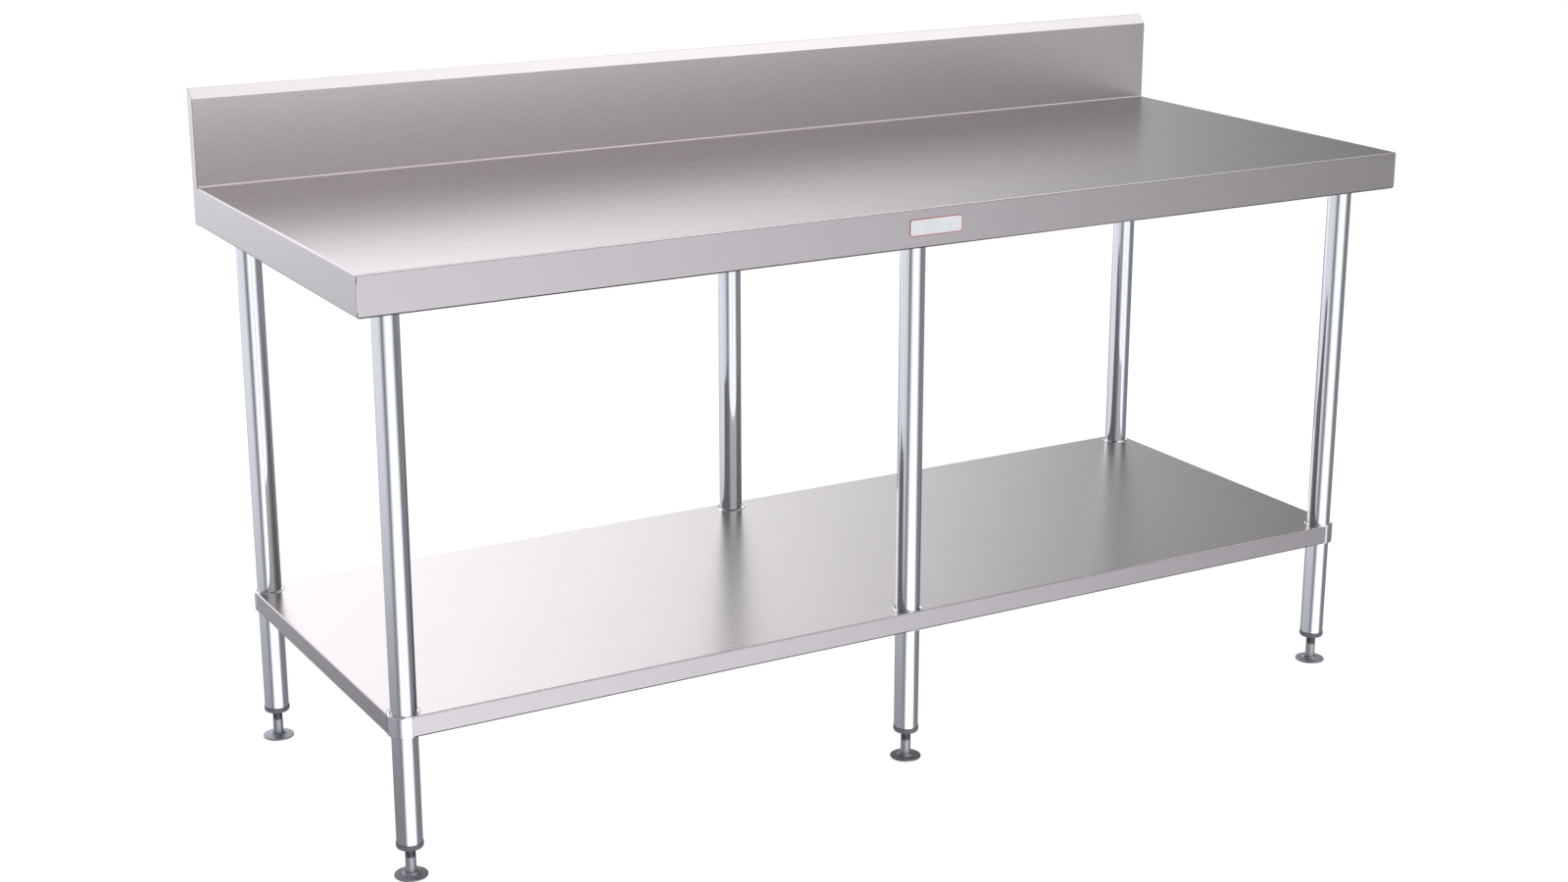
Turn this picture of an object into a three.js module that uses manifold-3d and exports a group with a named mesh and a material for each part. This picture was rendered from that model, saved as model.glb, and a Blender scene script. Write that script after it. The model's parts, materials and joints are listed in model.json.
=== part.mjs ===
// A stainless steel kitchen work table with a splashback, six round legs, an undershelf and screw feet.
// Millimetres, +Z up. The origin is on the floor under the middle of the table; -Y is the working side.
import * as THREE from "three";
import { mergeVertices } from "three/addons/utils/BufferGeometryUtils.js";
import Module from "manifold-3d";

const wasm = await Module();
wasm.setup();

// ---- Driving dimensions ----

const LENGTH = 1800;
const DEPTH = 700;
const WORKTOP_HEIGHT = 900;
const APRON = 60; // depth of the folded edge round the worktop
const SHEET = 1.2; // thickness of the stainless sheet
const GAP = 0.3; // between pieces that rest on each other
const LIP = 12; // safe edge folded in under an apron
const TOP_BEND = 3; // outer radius of the worktop's long bends
const LIP_BEND = 2; // outer radius where an apron folds into its lip

const SPLASH_HEIGHT = 150;
const SPLASH_THICKNESS = 20;
const SPLASH_SLOPE_RUN = 16; // the sloped ledge that sheds dust and water
const SPLASH_SLOPE_RISE = 15;
const SPLASH_RETURN = 30; // fold that comes down the back
const REAR_APRON_HEIGHT = 90;

const LEG_RADIUS = 19.05;
const LEG_WALL = 1.2;
const LEG_INSET_X = 61; // leg centre to the end of the worktop
const LEG_INSET_Y = 62; // leg centre to the front or back of the worktop
const LEG_BOTTOM = 53.5;

const SHELF_TOP = 252;
const SHELF_DEEP = 32; // height of the undershelf's folded edge
const COLLAR_RADIUS = 24;
const COLLAR_BORE = 19.6;
const COLLAR_NOSE = (COLLAR_RADIUS - COLLAR_BORE) / 2; // the rounded rim

const STEEL = 1.5; // thickness of the galvanised sections
const RAIL = { web: 40, flange: 12, height: 15, y: 110, length: 1740 };
const CROSS = { web: 60, flange: 12, height: 30, length: 655 };
const SHELF_RAIL = { web: 60, flange: 15, height: 20, length: 1620 };

const SOCKET = { plateX: 56, plateY: 80, plate: 3, radius: 23, bore: 19.6, depth: 25 };
const SET_SCREW = { radius: 3.9, hole: 4.3, length: 9, boss: 7, reach: 29, hexagon: 2.3, pocket: 4 };
const COLLAR_SCREW_BOSS = 6.5;

const INSERT = { plug: 17.5, plugLength: 30, cap: 20, capHeight: 8.7, capFillet: 4, bore: 8.3 };
const FOOT = { disc: 24.5, edge: 2.4, hub: 9.6, hubTop: 5.7, bolt: 2.5, boltCircle: 17, boltAngle: 60 };
const SPINDLE = { pin: 5, pinBottom: 2.6, stemBottom: 6, stem: 7.9, shoulder: 30, stud: 7.8, top: 96 };

const BADGE = { width: 92, height: 25.5, thickness: 0.5, corner: 5, z: 871.5 };

const ROUND = 20; // sides of a tube or a turned piece
const SPINDLE_ROUND = 16;
const SMALL_ROUND = 12; // sides of a screw
const BEND_STEPS = 3; // straight steps in a sheet bend

const worktopUnderside = WORKTOP_HEIGHT - SHEET;
const apronBottom = WORKTOP_HEIGHT - APRON;
const splashFront = DEPTH / 2 - SPLASH_THICKNESS;
const splashTop = WORKTOP_HEIGHT + SPLASH_HEIGHT;
const legX = LENGTH / 2 - LEG_INSET_X;
const legY = DEPTH / 2 - LEG_INSET_Y;
const shelfX = legX + COLLAR_RADIUS;
const shelfY = legY + COLLAR_RADIUS;
const shelfBottom = SHELF_TOP - SHELF_DEEP;
const sectionTop = worktopUnderside - GAP;
const crossWeb = sectionTop - CROSS.height;
const socketPlateTop = crossWeb - GAP;
const socketCupTop = socketPlateTop - SOCKET.plate;
const legTop = socketCupTop - GAP;

// ---- Materials ----

const steelOf = (color, roughness, metalness = 1) =>
  new THREE.MeshStandardMaterial({ color, roughness, metalness });

const MATERIALS = {
  satin: steelOf(0xc9c7c8, 0.34),
  polished: steelOf(0xe2e4ea, 0.08),
  galvanised: steelOf(0xa3a8ac, 0.5),
  insert: steelOf(0x5c5f63, 0.5, 0),
  foot: steelOf(0xa6a6a8, 0.3),
  screw: steelOf(0x47484b, 0.4),
  badge: steelOf(0xf3f4f5, 0.4, 0),
};

// ---- Geometry helpers ----

// A closed three.js geometry as a manifold-3d solid.
function solidOf(geometry) {
  const bare = geometry.clone();
  bare.deleteAttribute("normal");
  bare.deleteAttribute("uv");
  const merged = mergeVertices(bare, 1e-4);
  const faces = [];
  const index = merged.index.array;
  for (let i = 0; i < index.length; i += 3) {
    const [a, b, c] = [index[i], index[i + 1], index[i + 2]];
    if (a !== b && b !== c && c !== a) faces.push(a, b, c);
  }
  return new wasm.Manifold(
    new wasm.Mesh({
      numProp: 3,
      vertProperties: merged.attributes.position.array,
      triVerts: new Uint32Array(faces),
    }),
  );
}

function geometryOf(solid) {
  const mesh = solid.getMesh();
  const geometry = new THREE.BufferGeometry();
  geometry.setAttribute("position", new THREE.BufferAttribute(mesh.vertProperties, 3));
  geometry.setIndex(new THREE.BufferAttribute(mesh.triVerts, 1));
  geometry.computeVertexNormals();
  return geometry;
}

// A box between two corners.
function boxBetween(low, high) {
  const size = high.map((value, axis) => value - low[axis]);
  const middle = high.map((value, axis) => (value + low[axis]) / 2);
  return solidOf(new THREE.BoxGeometry(...size).translate(...middle));
}

// A cylinder along +Z, standing on z = bottom.
function cylinder(radius, bottom, top, sides = ROUND) {
  const geometry = new THREE.CylinderGeometry(radius, radius, top - bottom, sides);
  return solidOf(geometry.rotateX(Math.PI / 2).translate(0, 0, (top + bottom) / 2));
}

// A cylinder along +Y at height z, for the screws and their holes.
function crossCylinder(radius, start, end, z, sides = SMALL_ROUND) {
  const geometry = new THREE.CylinderGeometry(radius, radius, end - start, sides);
  return solidOf(geometry.translate(0, (start + end) / 2, z));
}

// A solid turned about Z from [radius, z] points that run anticlockwise round the section.
function turned(profile, closed, sides = ROUND) {
  const points = profile.map(([radius, z]) => new THREE.Vector2(radius, z));
  if (closed) points.push(points[0].clone());
  return solidOf(new THREE.LatheGeometry(points, sides).rotateX(Math.PI / 2));
}

const extrudeSettings = (length) => ({ depth: length, bevelEnabled: false, curveSegments: BEND_STEPS });

// A shape drawn in (Y, Z), extruded along X and centred on x = 0.
function extrudedAlongX(shape, length) {
  const turn = new THREE.Matrix4().makeBasis(
    new THREE.Vector3(0, 1, 0),
    new THREE.Vector3(0, 0, 1),
    new THREE.Vector3(1, 0, 0),
  );
  const geometry = new THREE.ExtrudeGeometry(shape, extrudeSettings(length));
  return solidOf(geometry.applyMatrix4(turn).translate(-length / 2, 0, 0));
}

// A shape drawn in (X, Z), extruded along Y from y = front.
function extrudedAlongY(shape, front, length) {
  const turn = new THREE.Matrix4().makeBasis(
    new THREE.Vector3(1, 0, 0),
    new THREE.Vector3(0, 0, 1),
    new THREE.Vector3(0, -1, 0),
  );
  const geometry = new THREE.ExtrudeGeometry(shape, extrudeSettings(length));
  return solidOf(geometry.applyMatrix4(turn).translate(0, front + length, 0));
}

// A rectangle with rounded corners: one radius for the upper pair and one for the lower.
function roundedRectangle(left, bottom, right, top, upper, lower) {
  const shape = new THREE.Shape();
  shape.moveTo(left + lower, bottom);
  shape.lineTo(right - lower, bottom);
  shape.absarc(right - lower, bottom + lower, lower, -Math.PI / 2, 0);
  shape.lineTo(right, top - upper);
  shape.absarc(right - upper, top - upper, upper, 0, Math.PI / 2);
  shape.lineTo(left + upper, top);
  shape.absarc(left + upper, top - upper, upper, Math.PI / 2, Math.PI);
  shape.lineTo(left, bottom + lower);
  shape.absarc(left + lower, bottom + lower, lower, Math.PI, Math.PI * 1.5);
  return shape;
}

// The section of a folded sheet: its middle line goes through the corners, and each bend has its own radius.
function foldedSection(corners, radii, thickness) {
  const points = corners.map(([u, v]) => new THREE.Vector2(u, v));
  const middle = [];
  const normalOf = (from, to) => new THREE.Vector2(from.y - to.y, to.x - from.x).normalize();
  middle.push([points[0], normalOf(points[0], points[1])]);
  for (let i = 1; i < points.length - 1; i++) {
    const before = points[i].clone().sub(points[i - 1]).normalize();
    const after = points[i + 1].clone().sub(points[i]).normalize();
    const turn = Math.atan2(before.cross(after), before.dot(after));
    const radius = radii[i - 1];
    const start = points[i].clone().addScaledVector(before, -radius * Math.tan(Math.abs(turn) / 2));
    const firstNormal = new THREE.Vector2(-before.y, before.x);
    const centre = start.clone().addScaledVector(firstNormal, radius * Math.sign(turn));
    for (let step = 0; step <= BEND_STEPS; step++) {
      const normal = firstNormal.clone().rotateAround(new THREE.Vector2(), (turn * step) / BEND_STEPS);
      middle.push([centre.clone().addScaledVector(normal, -radius * Math.sign(turn)), normal]);
    }
  }
  const last = points.length - 1;
  middle.push([points[last], normalOf(points[last - 1], points[last])]);
  const side = (share) => middle.map(([point, normal]) => point.clone().addScaledVector(normal, share * thickness));
  return new THREE.Shape([...side(-0.5), ...side(0.5).reverse()]);
}

// A galvanised hat section hanging from its two flanges, whose tops are at v = 0.
function hatSection({ web, flange, height }) {
  const [outer, inner] = [web / 2 + flange, (web - STEEL) / 2];
  const [high, low] = [-STEEL / 2, STEEL / 2 - height];
  const corners = [
    [-outer, high],
    [-inner, high],
    [-inner, low],
    [inner, low],
    [inner, high],
    [outer, high],
  ];
  return foldedSection(corners, Array(4).fill(STEEL), STEEL);
}

// ---- Sheet metal of the worktop ----

// A tray of sheet, open underneath, with safe edges folded in under its sides.
function tray(halfX, front, back, bottom, top, openBack) {
  const shell = (inset, backEdge) => {
    const outline = (left, right) =>
      roundedRectangle(left, bottom + inset, right, top - inset, TOP_BEND - inset, LIP_BEND - inset);
    const behind = openBack ? TOP_BEND * 3 : 0;
    const lengthwise = extrudedAlongX(outline(front + inset, backEdge + behind), 2 * (halfX - inset));
    const endwise = extrudedAlongY(outline(inset - halfX, halfX - inset), front - SHEET, backEdge - front + 2 * SHEET);
    return lengthwise.intersect(endwise);
  };
  const outer = shell(0, back).intersect(boxBetween([-LENGTH, front, bottom], [LENGTH, back, top]));
  const inner = shell(SHEET, openBack ? back + SHEET * 2 : back - SHEET);
  const mouth = boxBetween(
    [LIP - halfX, front + LIP, bottom - SHEET],
    [halfX - LIP, openBack ? back + SHEET : back - LIP, bottom + 2 * SHEET],
  );
  return outer.subtract(inner).subtract(mouth);
}

// The worktop is one folded sheet: top, aprons, splashback, its sloped ledge and the return behind.
function worktopSkin() {
  const top = tray(LENGTH / 2, -DEPTH / 2, splashFront, apronBottom, WORKTOP_HEIGHT, true);
  const half = SHEET / 2;
  const face = splashFront + half;
  const back = DEPTH / 2 - half;
  const section = foldedSection(
    [
      [splashFront - TOP_BEND * 4, WORKTOP_HEIGHT - half],
      [face, WORKTOP_HEIGHT - half],
      [face, splashTop - SPLASH_SLOPE_RISE - half / 2],
      [splashFront + SPLASH_SLOPE_RUN + half / 2, splashTop - half],
      [back, splashTop - half],
      [back, splashTop - SPLASH_RETURN],
    ],
    [TOP_BEND + half, LIP_BEND, LIP_BEND - half / 2, LIP_BEND - half / 2],
    SHEET,
  );
  return top.add(extrudedAlongX(section, LENGTH - 2 * (SHEET + GAP)));
}

// The plate that closes one end of the splashback, from the apron's lower edge to the ledge.
function splashbackEnd() {
  const shape = new THREE.Shape();
  shape.moveTo(splashFront + GAP, apronBottom);
  shape.lineTo(DEPTH / 2, apronBottom);
  shape.lineTo(DEPTH / 2, splashTop);
  shape.lineTo(splashFront + SPLASH_SLOPE_RUN, splashTop);
  shape.lineTo(splashFront + GAP, splashTop - SPLASH_SLOPE_RISE);
  return extrudedAlongX(shape, SHEET);
}

function rearApron() {
  const half = SHEET / 2;
  const back = DEPTH / 2 - half;
  const top = apronBottom + REAR_APRON_HEIGHT;
  const section = foldedSection(
    [
      [DEPTH / 2 - LIP, apronBottom + half],
      [back, apronBottom + half],
      [back, top],
      [splashFront + SHEET + GAP, top],
    ],
    [LIP_BEND - half, LIP_BEND - half],
    SHEET,
  );
  return extrudedAlongX(section, LENGTH - 2 * (SHEET + GAP));
}

// ---- Galvanised sections under the worktop and the shelf ----

// A cross channel is notched from above where the two long rails pass through it.
function crossChannel() {
  const channel = extrudedAlongY(hatSection(CROSS), -CROSS.length / 2, CROSS.length);
  const halfNotch = RAIL.web / 2 + RAIL.flange + 1;
  const notch = (y) => boxBetween([-CROSS.web, y - halfNotch, -RAIL.height - 1], [CROSS.web, y + halfNotch, 1]);
  return channel.subtract(notch(-RAIL.y)).subtract(notch(RAIL.y));
}

const topRail = () => extrudedAlongX(hatSection(RAIL), RAIL.length);
const shelfRail = () => extrudedAlongX(hatSection(SHELF_RAIL), SHELF_RAIL.length);

// ---- Undershelf ----

// The pan is cut away at its corners, where the leg collars make the corner, and holed at the middle legs.
function shelfPan() {
  let pan = tray(shelfX, -shelfY, shelfY, shelfBottom, SHELF_TOP, false);
  const [low, high] = [shelfBottom - 1, SHELF_TOP + 1];
  const behindFace = boxBetween(
    [-LENGTH, SHEET - shelfY, low],
    [LENGTH, shelfY - SHEET, high],
  );
  for (const x of [-legX, 0, legX]) {
    for (const y of [-legY, legY]) {
      const hole = cylinder(COLLAR_RADIUS + GAP, low, high).translate([x, y, 0]);
      pan = pan.subtract(x === 0 ? hole.intersect(behindFace) : hole);
      if (x === 0) continue;
      const outer = [Math.sign(x) * LENGTH, Math.sign(y) * DEPTH];
      const corner = boxBetween(
        [Math.min(x, outer[0]), Math.min(y, outer[1]), low],
        [Math.max(x, outer[0]), Math.max(y, outer[1]), high],
      );
      pan = pan.subtract(corner);
    }
  }
  return pan;
}

// A collar slides on its leg and clamps it with a set screw. The middle ones are flattened to sit inside the edge.
function shelfCollar(flattened) {
  const [middle, shoulder] = [(COLLAR_RADIUS + COLLAR_BORE) / 2, SHELF_DEEP - COLLAR_NOSE];
  const profile = [
    [COLLAR_BORE, 0],
    [COLLAR_RADIUS, 0],
  ];
  for (let step = 0; step <= BEND_STEPS; step++) {
    const angle = (Math.PI * step) / BEND_STEPS;
    profile.push([middle + COLLAR_NOSE * Math.cos(angle), shoulder + COLLAR_NOSE * Math.sin(angle)]);
  }
  const height = SHELF_DEEP / 2;
  const boss = crossCylinder(COLLAR_SCREW_BOSS, COLLAR_BORE + 1, SET_SCREW.reach + 1, height, ROUND / 2);
  let collar = turned(profile, true).add(boss.subtract(cylinder(COLLAR_BORE + 1, -1, SHELF_DEEP)));
  collar = collar.subtract(crossCylinder(SET_SCREW.hole, 0, COLLAR_RADIUS * 2, height));
  if (!flattened) return collar;
  const reach = COLLAR_RADIUS - SHEET - GAP;
  return collar.intersect(boxBetween([-LENGTH, -reach, -1], [LENGTH, LENGTH, SHELF_DEEP + 1]));
}

// ---- Leg and its fittings ----

const legTube = () =>
  turned(
    [
      [LEG_RADIUS - LEG_WALL, LEG_BOTTOM],
      [LEG_RADIUS, LEG_BOTTOM],
      [LEG_RADIUS, legTop],
      [LEG_RADIUS - LEG_WALL, legTop],
    ],
    true,
  );

// The socket is a plate with a cup below it and a threaded boss for the set screw.
function legSocket() {
  const { plateX, plateY, radius, bore, depth } = SOCKET;
  const cupBottom = socketCupTop - depth;
  const screwHeight = cupBottom + depth * 0.4;
  const plate = boxBetween([-plateX / 2, -plateY / 2, socketCupTop], [plateX / 2, plateY / 2, socketPlateTop]);
  const cup = cylinder(radius, cupBottom, socketCupTop + 1);
  const boss = crossCylinder(SET_SCREW.boss, 0, SET_SCREW.reach, screwHeight, ROUND / 2);
  return plate
    .add(cup)
    .add(boss)
    .subtract(cylinder(bore, cupBottom - 1, socketCupTop))
    .subtract(crossCylinder(SET_SCREW.hole, 0, radius * 2, screwHeight));
}

// A grub screw along +Y from y = 0, with a hexagon socket in its outer end.
function setScrew() {
  const { radius, length, hexagon, pocket } = SET_SCREW;
  const body = crossCylinder(radius, 0, length, 0);
  return body.subtract(crossCylinder(hexagon, length - pocket, length + 1, 0, 6));
}

// The insert plugs the tube; its cap covers the tube's cut end.
function legInsert() {
  const { plug, plugLength, cap, capHeight, capFillet, bore } = INSERT;
  const capTop = LEG_BOTTOM - GAP;
  const capBottom = capTop - capHeight;
  const profile = [[bore, capBottom]];
  for (let step = 0; step <= BEND_STEPS; step++) {
    const angle = (Math.PI / 2) * (step / BEND_STEPS - 1);
    profile.push([
      cap - capFillet + capFillet * Math.cos(angle),
      capBottom + capFillet + capFillet * Math.sin(angle),
    ]);
  }
  profile.push([cap, capTop], [plug, capTop], [plug, LEG_BOTTOM + plugLength], [bore, LEG_BOTTOM + plugLength]);
  return turned(profile, true);
}

// The foot's disc has a dished top, a hub that holds the spindle's pin and two holes for floor bolts.
function footDisc() {
  const { disc, edge, hub, hubTop, bolt, boltCircle, boltAngle } = FOOT;
  let foot = turned(
    [
      [0, 0],
      [disc, 0],
      [disc, edge],
      [hub + 1.6, edge + 1.4],
      [hub, hubTop],
      [SPINDLE.pin + 0.4, hubTop],
      [SPINDLE.pin + 0.4, SPINDLE.pinBottom - GAP],
      [0, SPINDLE.pinBottom - GAP],
    ],
    false,
  );
  for (const angle of [boltAngle, boltAngle + 180]) {
    const turn = THREE.MathUtils.degToRad(angle);
    const place = [boltCircle * Math.cos(turn), boltCircle * Math.sin(turn), 0];
    foot = foot.subtract(cylinder(bolt, -1, hubTop, SMALL_ROUND).translate(place));
  }
  return foot;
}

// The spindle turns in the disc's hub and screws in and out of the insert.
function footSpindle() {
  const { pin, pinBottom, stemBottom, stem, shoulder, stud, top } = SPINDLE;
  return turned(
    [
      [0, pinBottom],
      [pin, pinBottom],
      [pin, stemBottom],
      [stem, stemBottom],
      [stem, shoulder],
      [stud, shoulder],
      [stud, top - 1],
      [stud - 1, top],
      [0, top],
    ],
    false,
    SPINDLE_ROUND,
  );
}

// ---- Assembly ----

const table = new THREE.Group();

// Adds a named mesh to a group.
function addMesh(group, name, geometry, material, position = [0, 0, 0]) {
  const mesh = new THREE.Mesh(geometry, material);
  mesh.name = name;
  mesh.position.set(...position);
  group.add(mesh);
}

function addWorktop() {
  const { satin, galvanised, badge } = MATERIALS;
  addMesh(table, "worktop_skin", geometryOf(worktopSkin()), satin);
  addMesh(table, "rear_apron", geometryOf(rearApron()), satin);
  const end = geometryOf(splashbackEnd());
  const cross = geometryOf(crossChannel());
  const rail = geometryOf(topRail());
  for (const [side, sign] of [["left", -1], ["right", 1]]) {
    addMesh(table, `splashback_end_${side}`, end, satin, [(sign * (LENGTH - SHEET)) / 2, 0, 0]);
  }
  for (const [side, sign] of [["left", -1], ["middle", 0], ["right", 1]]) {
    addMesh(table, `top_cross_channel_${side}`, cross, galvanised, [sign * legX, 0, sectionTop]);
  }
  for (const [side, sign] of [["front", -1], ["rear", 1]]) {
    addMesh(table, `top_rail_${side}`, rail, galvanised, [0, sign * RAIL.y, sectionTop]);
  }
  const { width, height, thickness, corner, z } = BADGE;
  const plate = roundedRectangle(-width / 2, z - height / 2, width / 2, z + height / 2, corner, corner);
  const front = -DEPTH / 2 - GAP - thickness;
  addMesh(table, "badge", geometryOf(extrudedAlongY(plate, front, thickness)), badge);
}

function addShelf() {
  addMesh(table, "shelf_pan", geometryOf(shelfPan()), MATERIALS.satin);
  const top = SHELF_TOP - SHEET - GAP;
  addMesh(table, "shelf_rail", geometryOf(shelfRail()), MATERIALS.galvanised, [0, 0, top]);
}

// One station holds a leg and everything on it. Its set screws face the middle of the table.
function addStations() {
  const { satin, polished, insert, foot, screw } = MATERIALS;
  const leg = geometryOf(legTube());
  const socket = geometryOf(legSocket());
  const plug = geometryOf(legInsert());
  const disc = geometryOf(footDisc());
  const spindle = geometryOf(footSpindle());
  const grub = geometryOf(setScrew());
  const collars = { middle: geometryOf(shelfCollar(true)), side: geometryOf(shelfCollar(false)) };
  const screwStart = LEG_RADIUS + GAP;
  const socketScrew = socketCupTop - SOCKET.depth * 0.6;
  for (const [row, rowSign] of [["front", -1], ["rear", 1]]) {
    for (const [column, columnSign] of [["left", -1], ["middle", 0], ["right", 1]]) {
      const station = new THREE.Group();
      station.position.set(columnSign * legX, rowSign * legY, 0);
      station.rotation.z = rowSign > 0 ? Math.PI : 0;
      table.add(station);
      const place = `${row}_${column}`;
      addMesh(station, `leg_${place}`, leg, polished);
      addMesh(station, `leg_socket_${place}`, socket, satin);
      addMesh(station, `socket_screw_${place}`, grub, screw, [0, screwStart, socketScrew]);
      const collar = columnSign === 0 ? collars.middle : collars.side;
      addMesh(station, `shelf_collar_${place}`, collar, polished, [0, 0, shelfBottom]);
      addMesh(station, `collar_screw_${place}`, grub, screw, [0, screwStart, shelfBottom + SHELF_DEEP / 2]);
      addMesh(station, `leg_insert_${place}`, plug, insert);
      addMesh(station, `foot_disc_${place}`, disc, foot);
      addMesh(station, `foot_spindle_${place}`, spindle, foot);
    }
  }
}

addWorktop();
addShelf();
addStations();

export default table;
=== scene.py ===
"""A stainless steel kitchen work table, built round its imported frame.

All sizes are in metres, in the frame's axes: +X along the table, +Y towards the splashback, +Z up.
"""

import json
import logging
import math
from collections.abc import Iterable, Sequence
from dataclasses import dataclass
from enum import Enum

import bmesh
import bpy
from mathutils import Matrix, Vector


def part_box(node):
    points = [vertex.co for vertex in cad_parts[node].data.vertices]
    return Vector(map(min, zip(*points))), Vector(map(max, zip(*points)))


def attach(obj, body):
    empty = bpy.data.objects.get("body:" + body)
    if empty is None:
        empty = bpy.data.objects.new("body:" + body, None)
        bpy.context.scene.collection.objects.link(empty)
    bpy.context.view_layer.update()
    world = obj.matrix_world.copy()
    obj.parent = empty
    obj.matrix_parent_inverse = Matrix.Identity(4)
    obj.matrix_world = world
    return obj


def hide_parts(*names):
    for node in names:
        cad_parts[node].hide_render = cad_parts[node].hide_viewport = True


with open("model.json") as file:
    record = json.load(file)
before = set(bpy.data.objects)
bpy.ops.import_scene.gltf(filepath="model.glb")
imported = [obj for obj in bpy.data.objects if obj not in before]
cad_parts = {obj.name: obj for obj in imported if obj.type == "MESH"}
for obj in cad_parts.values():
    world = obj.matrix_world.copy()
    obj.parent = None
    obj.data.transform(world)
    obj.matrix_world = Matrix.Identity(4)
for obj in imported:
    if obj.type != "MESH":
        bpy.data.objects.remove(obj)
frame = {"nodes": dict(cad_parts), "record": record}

log = logging.getLogger("work_table")

Point2 = tuple[float, float]
Colour = tuple[float, float, float]

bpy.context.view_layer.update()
MM = 0.001
SMOOTH_ANGLE = math.radians(32)
ROUND_SIDES = 96
BEND_STEPS = 8
BOSS_SIDES = 48
SCREW_HOLE = 4.3 * MM
DRILL_END = 40 * MM
TURNING_UV = "turning"
ON_AXIS = 1e-7
SAME_POINT = 1e-6


# ---- Mesh workshop -------------------------------------------------------------------------------


def rounded_path(corners: Sequence[Point2], radii: Sequence[float], steps: int = BEND_STEPS) -> list[Point2]:
    """Rounds the inner corners of an open line with arcs.

    Args:
        corners: The line's points, its two ends included.
        radii: One radius for each inner corner.
        steps: Straight steps in each arc.

    Returns:
        The rounded line's points.
    """
    points = [Vector(corner) for corner in corners]
    path = [tuple(points[0])]
    for i, radius in enumerate(radii, start=1):
        before = (points[i] - points[i - 1]).normalized()
        after = (points[i + 1] - points[i]).normalized()
        turn = math.atan2(before.x * after.y - before.y * after.x, before.dot(after))
        start = points[i] - before * radius * math.tan(abs(turn) / 2)
        spoke = Vector((-before.y, before.x)) * math.copysign(radius, turn)
        centre = start + spoke
        for step in range(steps + 1):
            path.append(tuple(centre - Matrix.Rotation(turn * step / steps, 2) @ spoke))
    path.append(tuple(points[-1]))
    return path


def arc(centre: Point2, radius: float, start: float, end: float, steps: int = BEND_STEPS) -> list[Point2]:
    """The points of an arc.

    Args:
        centre: The arc's centre.
        radius: Its radius.
        start: Its first angle, in degrees.
        end: Its last angle, in degrees.
        steps: Straight steps in it.

    Returns:
        The points, both ends included.
    """
    angles = [math.radians(start + (end - start) * step / steps) for step in range(steps + 1)]
    return [(centre[0] + radius * math.cos(a), centre[1] + radius * math.sin(a)) for a in angles]


def rounded_rectangle(low: Point2, high: Point2, radius: float) -> list[Point2]:
    """A rectangle between two corners, anticlockwise, with its own corners rounded."""
    left, bottom = low[0] + radius, low[1] + radius
    right, top = high[0] - radius, high[1] - radius
    points = arc((left, bottom), radius, 180, 270) + arc((right, bottom), radius, 270, 360)
    return points + arc((right, top), radius, 0, 90) + arc((left, top), radius, 90, 180)


def draw_out(form: bmesh.types.BMesh, face: bmesh.types.BMFace, way: Sequence[float]) -> None:
    """Draws a face out along a vector into a solid."""
    swept = bmesh.ops.extrude_face_region(form, geom=[face])["geom"]
    moved = [v for v in swept if isinstance(v, bmesh.types.BMVert)]
    bmesh.ops.translate(form, verts=moved, vec=way)
    bmesh.ops.recalc_face_normals(form, faces=form.faces)


def new_piece(name: str, form: bmesh.types.BMesh) -> bpy.types.Object:
    """Puts a bmesh in the scene as an object at the origin, and frees it."""
    mesh = bpy.data.meshes.new(name)
    form.to_mesh(mesh)
    form.free()
    piece = bpy.data.objects.new(name, mesh)
    bpy.context.scene.collection.objects.link(piece)
    return piece


def bake(piece: bpy.types.Object) -> bpy.types.Object:
    """Turns what the modifiers show into the piece's own mesh, and removes them."""
    bpy.context.view_layer.update()
    depsgraph = bpy.context.evaluated_depsgraph_get()
    evaluated = piece.evaluated_get(depsgraph)
    mesh = bpy.data.meshes.new_from_object(evaluated, preserve_all_data_layers=True, depsgraph=depsgraph)
    piece.modifiers.clear()
    piece.data = mesh
    return piece


def smooth(piece: bpy.types.Object, angle: float = SMOOTH_ANGLE) -> bpy.types.Object:
    """Smooths bends and round stretches, and keeps flat faces flat and corners sharp.

    Args:
        piece: The piece, whose modifiers are baked.
        angle: The widest angle between two faces that still counts as smooth.

    Returns:
        The same piece.
    """
    piece.data.shade_smooth()
    piece.data.set_sharp_from_angle(angle=angle)
    weighted = piece.modifiers.new("weighted_normals", "WEIGHTED_NORMAL")
    weighted.mode = "FACE_AREA"
    weighted.weight = 100
    weighted.keep_sharp = True
    return bake(piece)


def thicken(piece: bpy.types.Object, thickness: float) -> bpy.types.Object:
    """Gives an open surface the thickness of a sheet, behind its faces."""
    sheet = piece.modifiers.new("sheet", "SOLIDIFY")
    sheet.thickness = thickness
    sheet.offset = -1
    sheet.use_even_offset = True
    sheet.use_quality_normals = True
    return bake(piece)


class Cut(Enum):
    """What a cut leaves: the piece less the tool, what the two share, or both as one."""

    AWAY = "DIFFERENCE"
    SHARED = "INTERSECT"
    JOINED = "UNION"


def cut(piece: bpy.types.Object, tool: bpy.types.Object, kind: Cut = Cut.AWAY) -> bpy.types.Object:
    """Cuts a piece with a tool, or joins them, and throws the tool away.

    Args:
        piece: The piece that is kept.
        tool: A closed solid.
        kind: What the cut leaves.

    Returns:
        The cut piece.
    """
    boolean = piece.modifiers.new("cut", "BOOLEAN")
    boolean.operation = kind.value
    boolean.solver = "EXACT"
    boolean.object = tool
    bake(piece)
    bpy.data.objects.remove(tool)
    return piece


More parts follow.
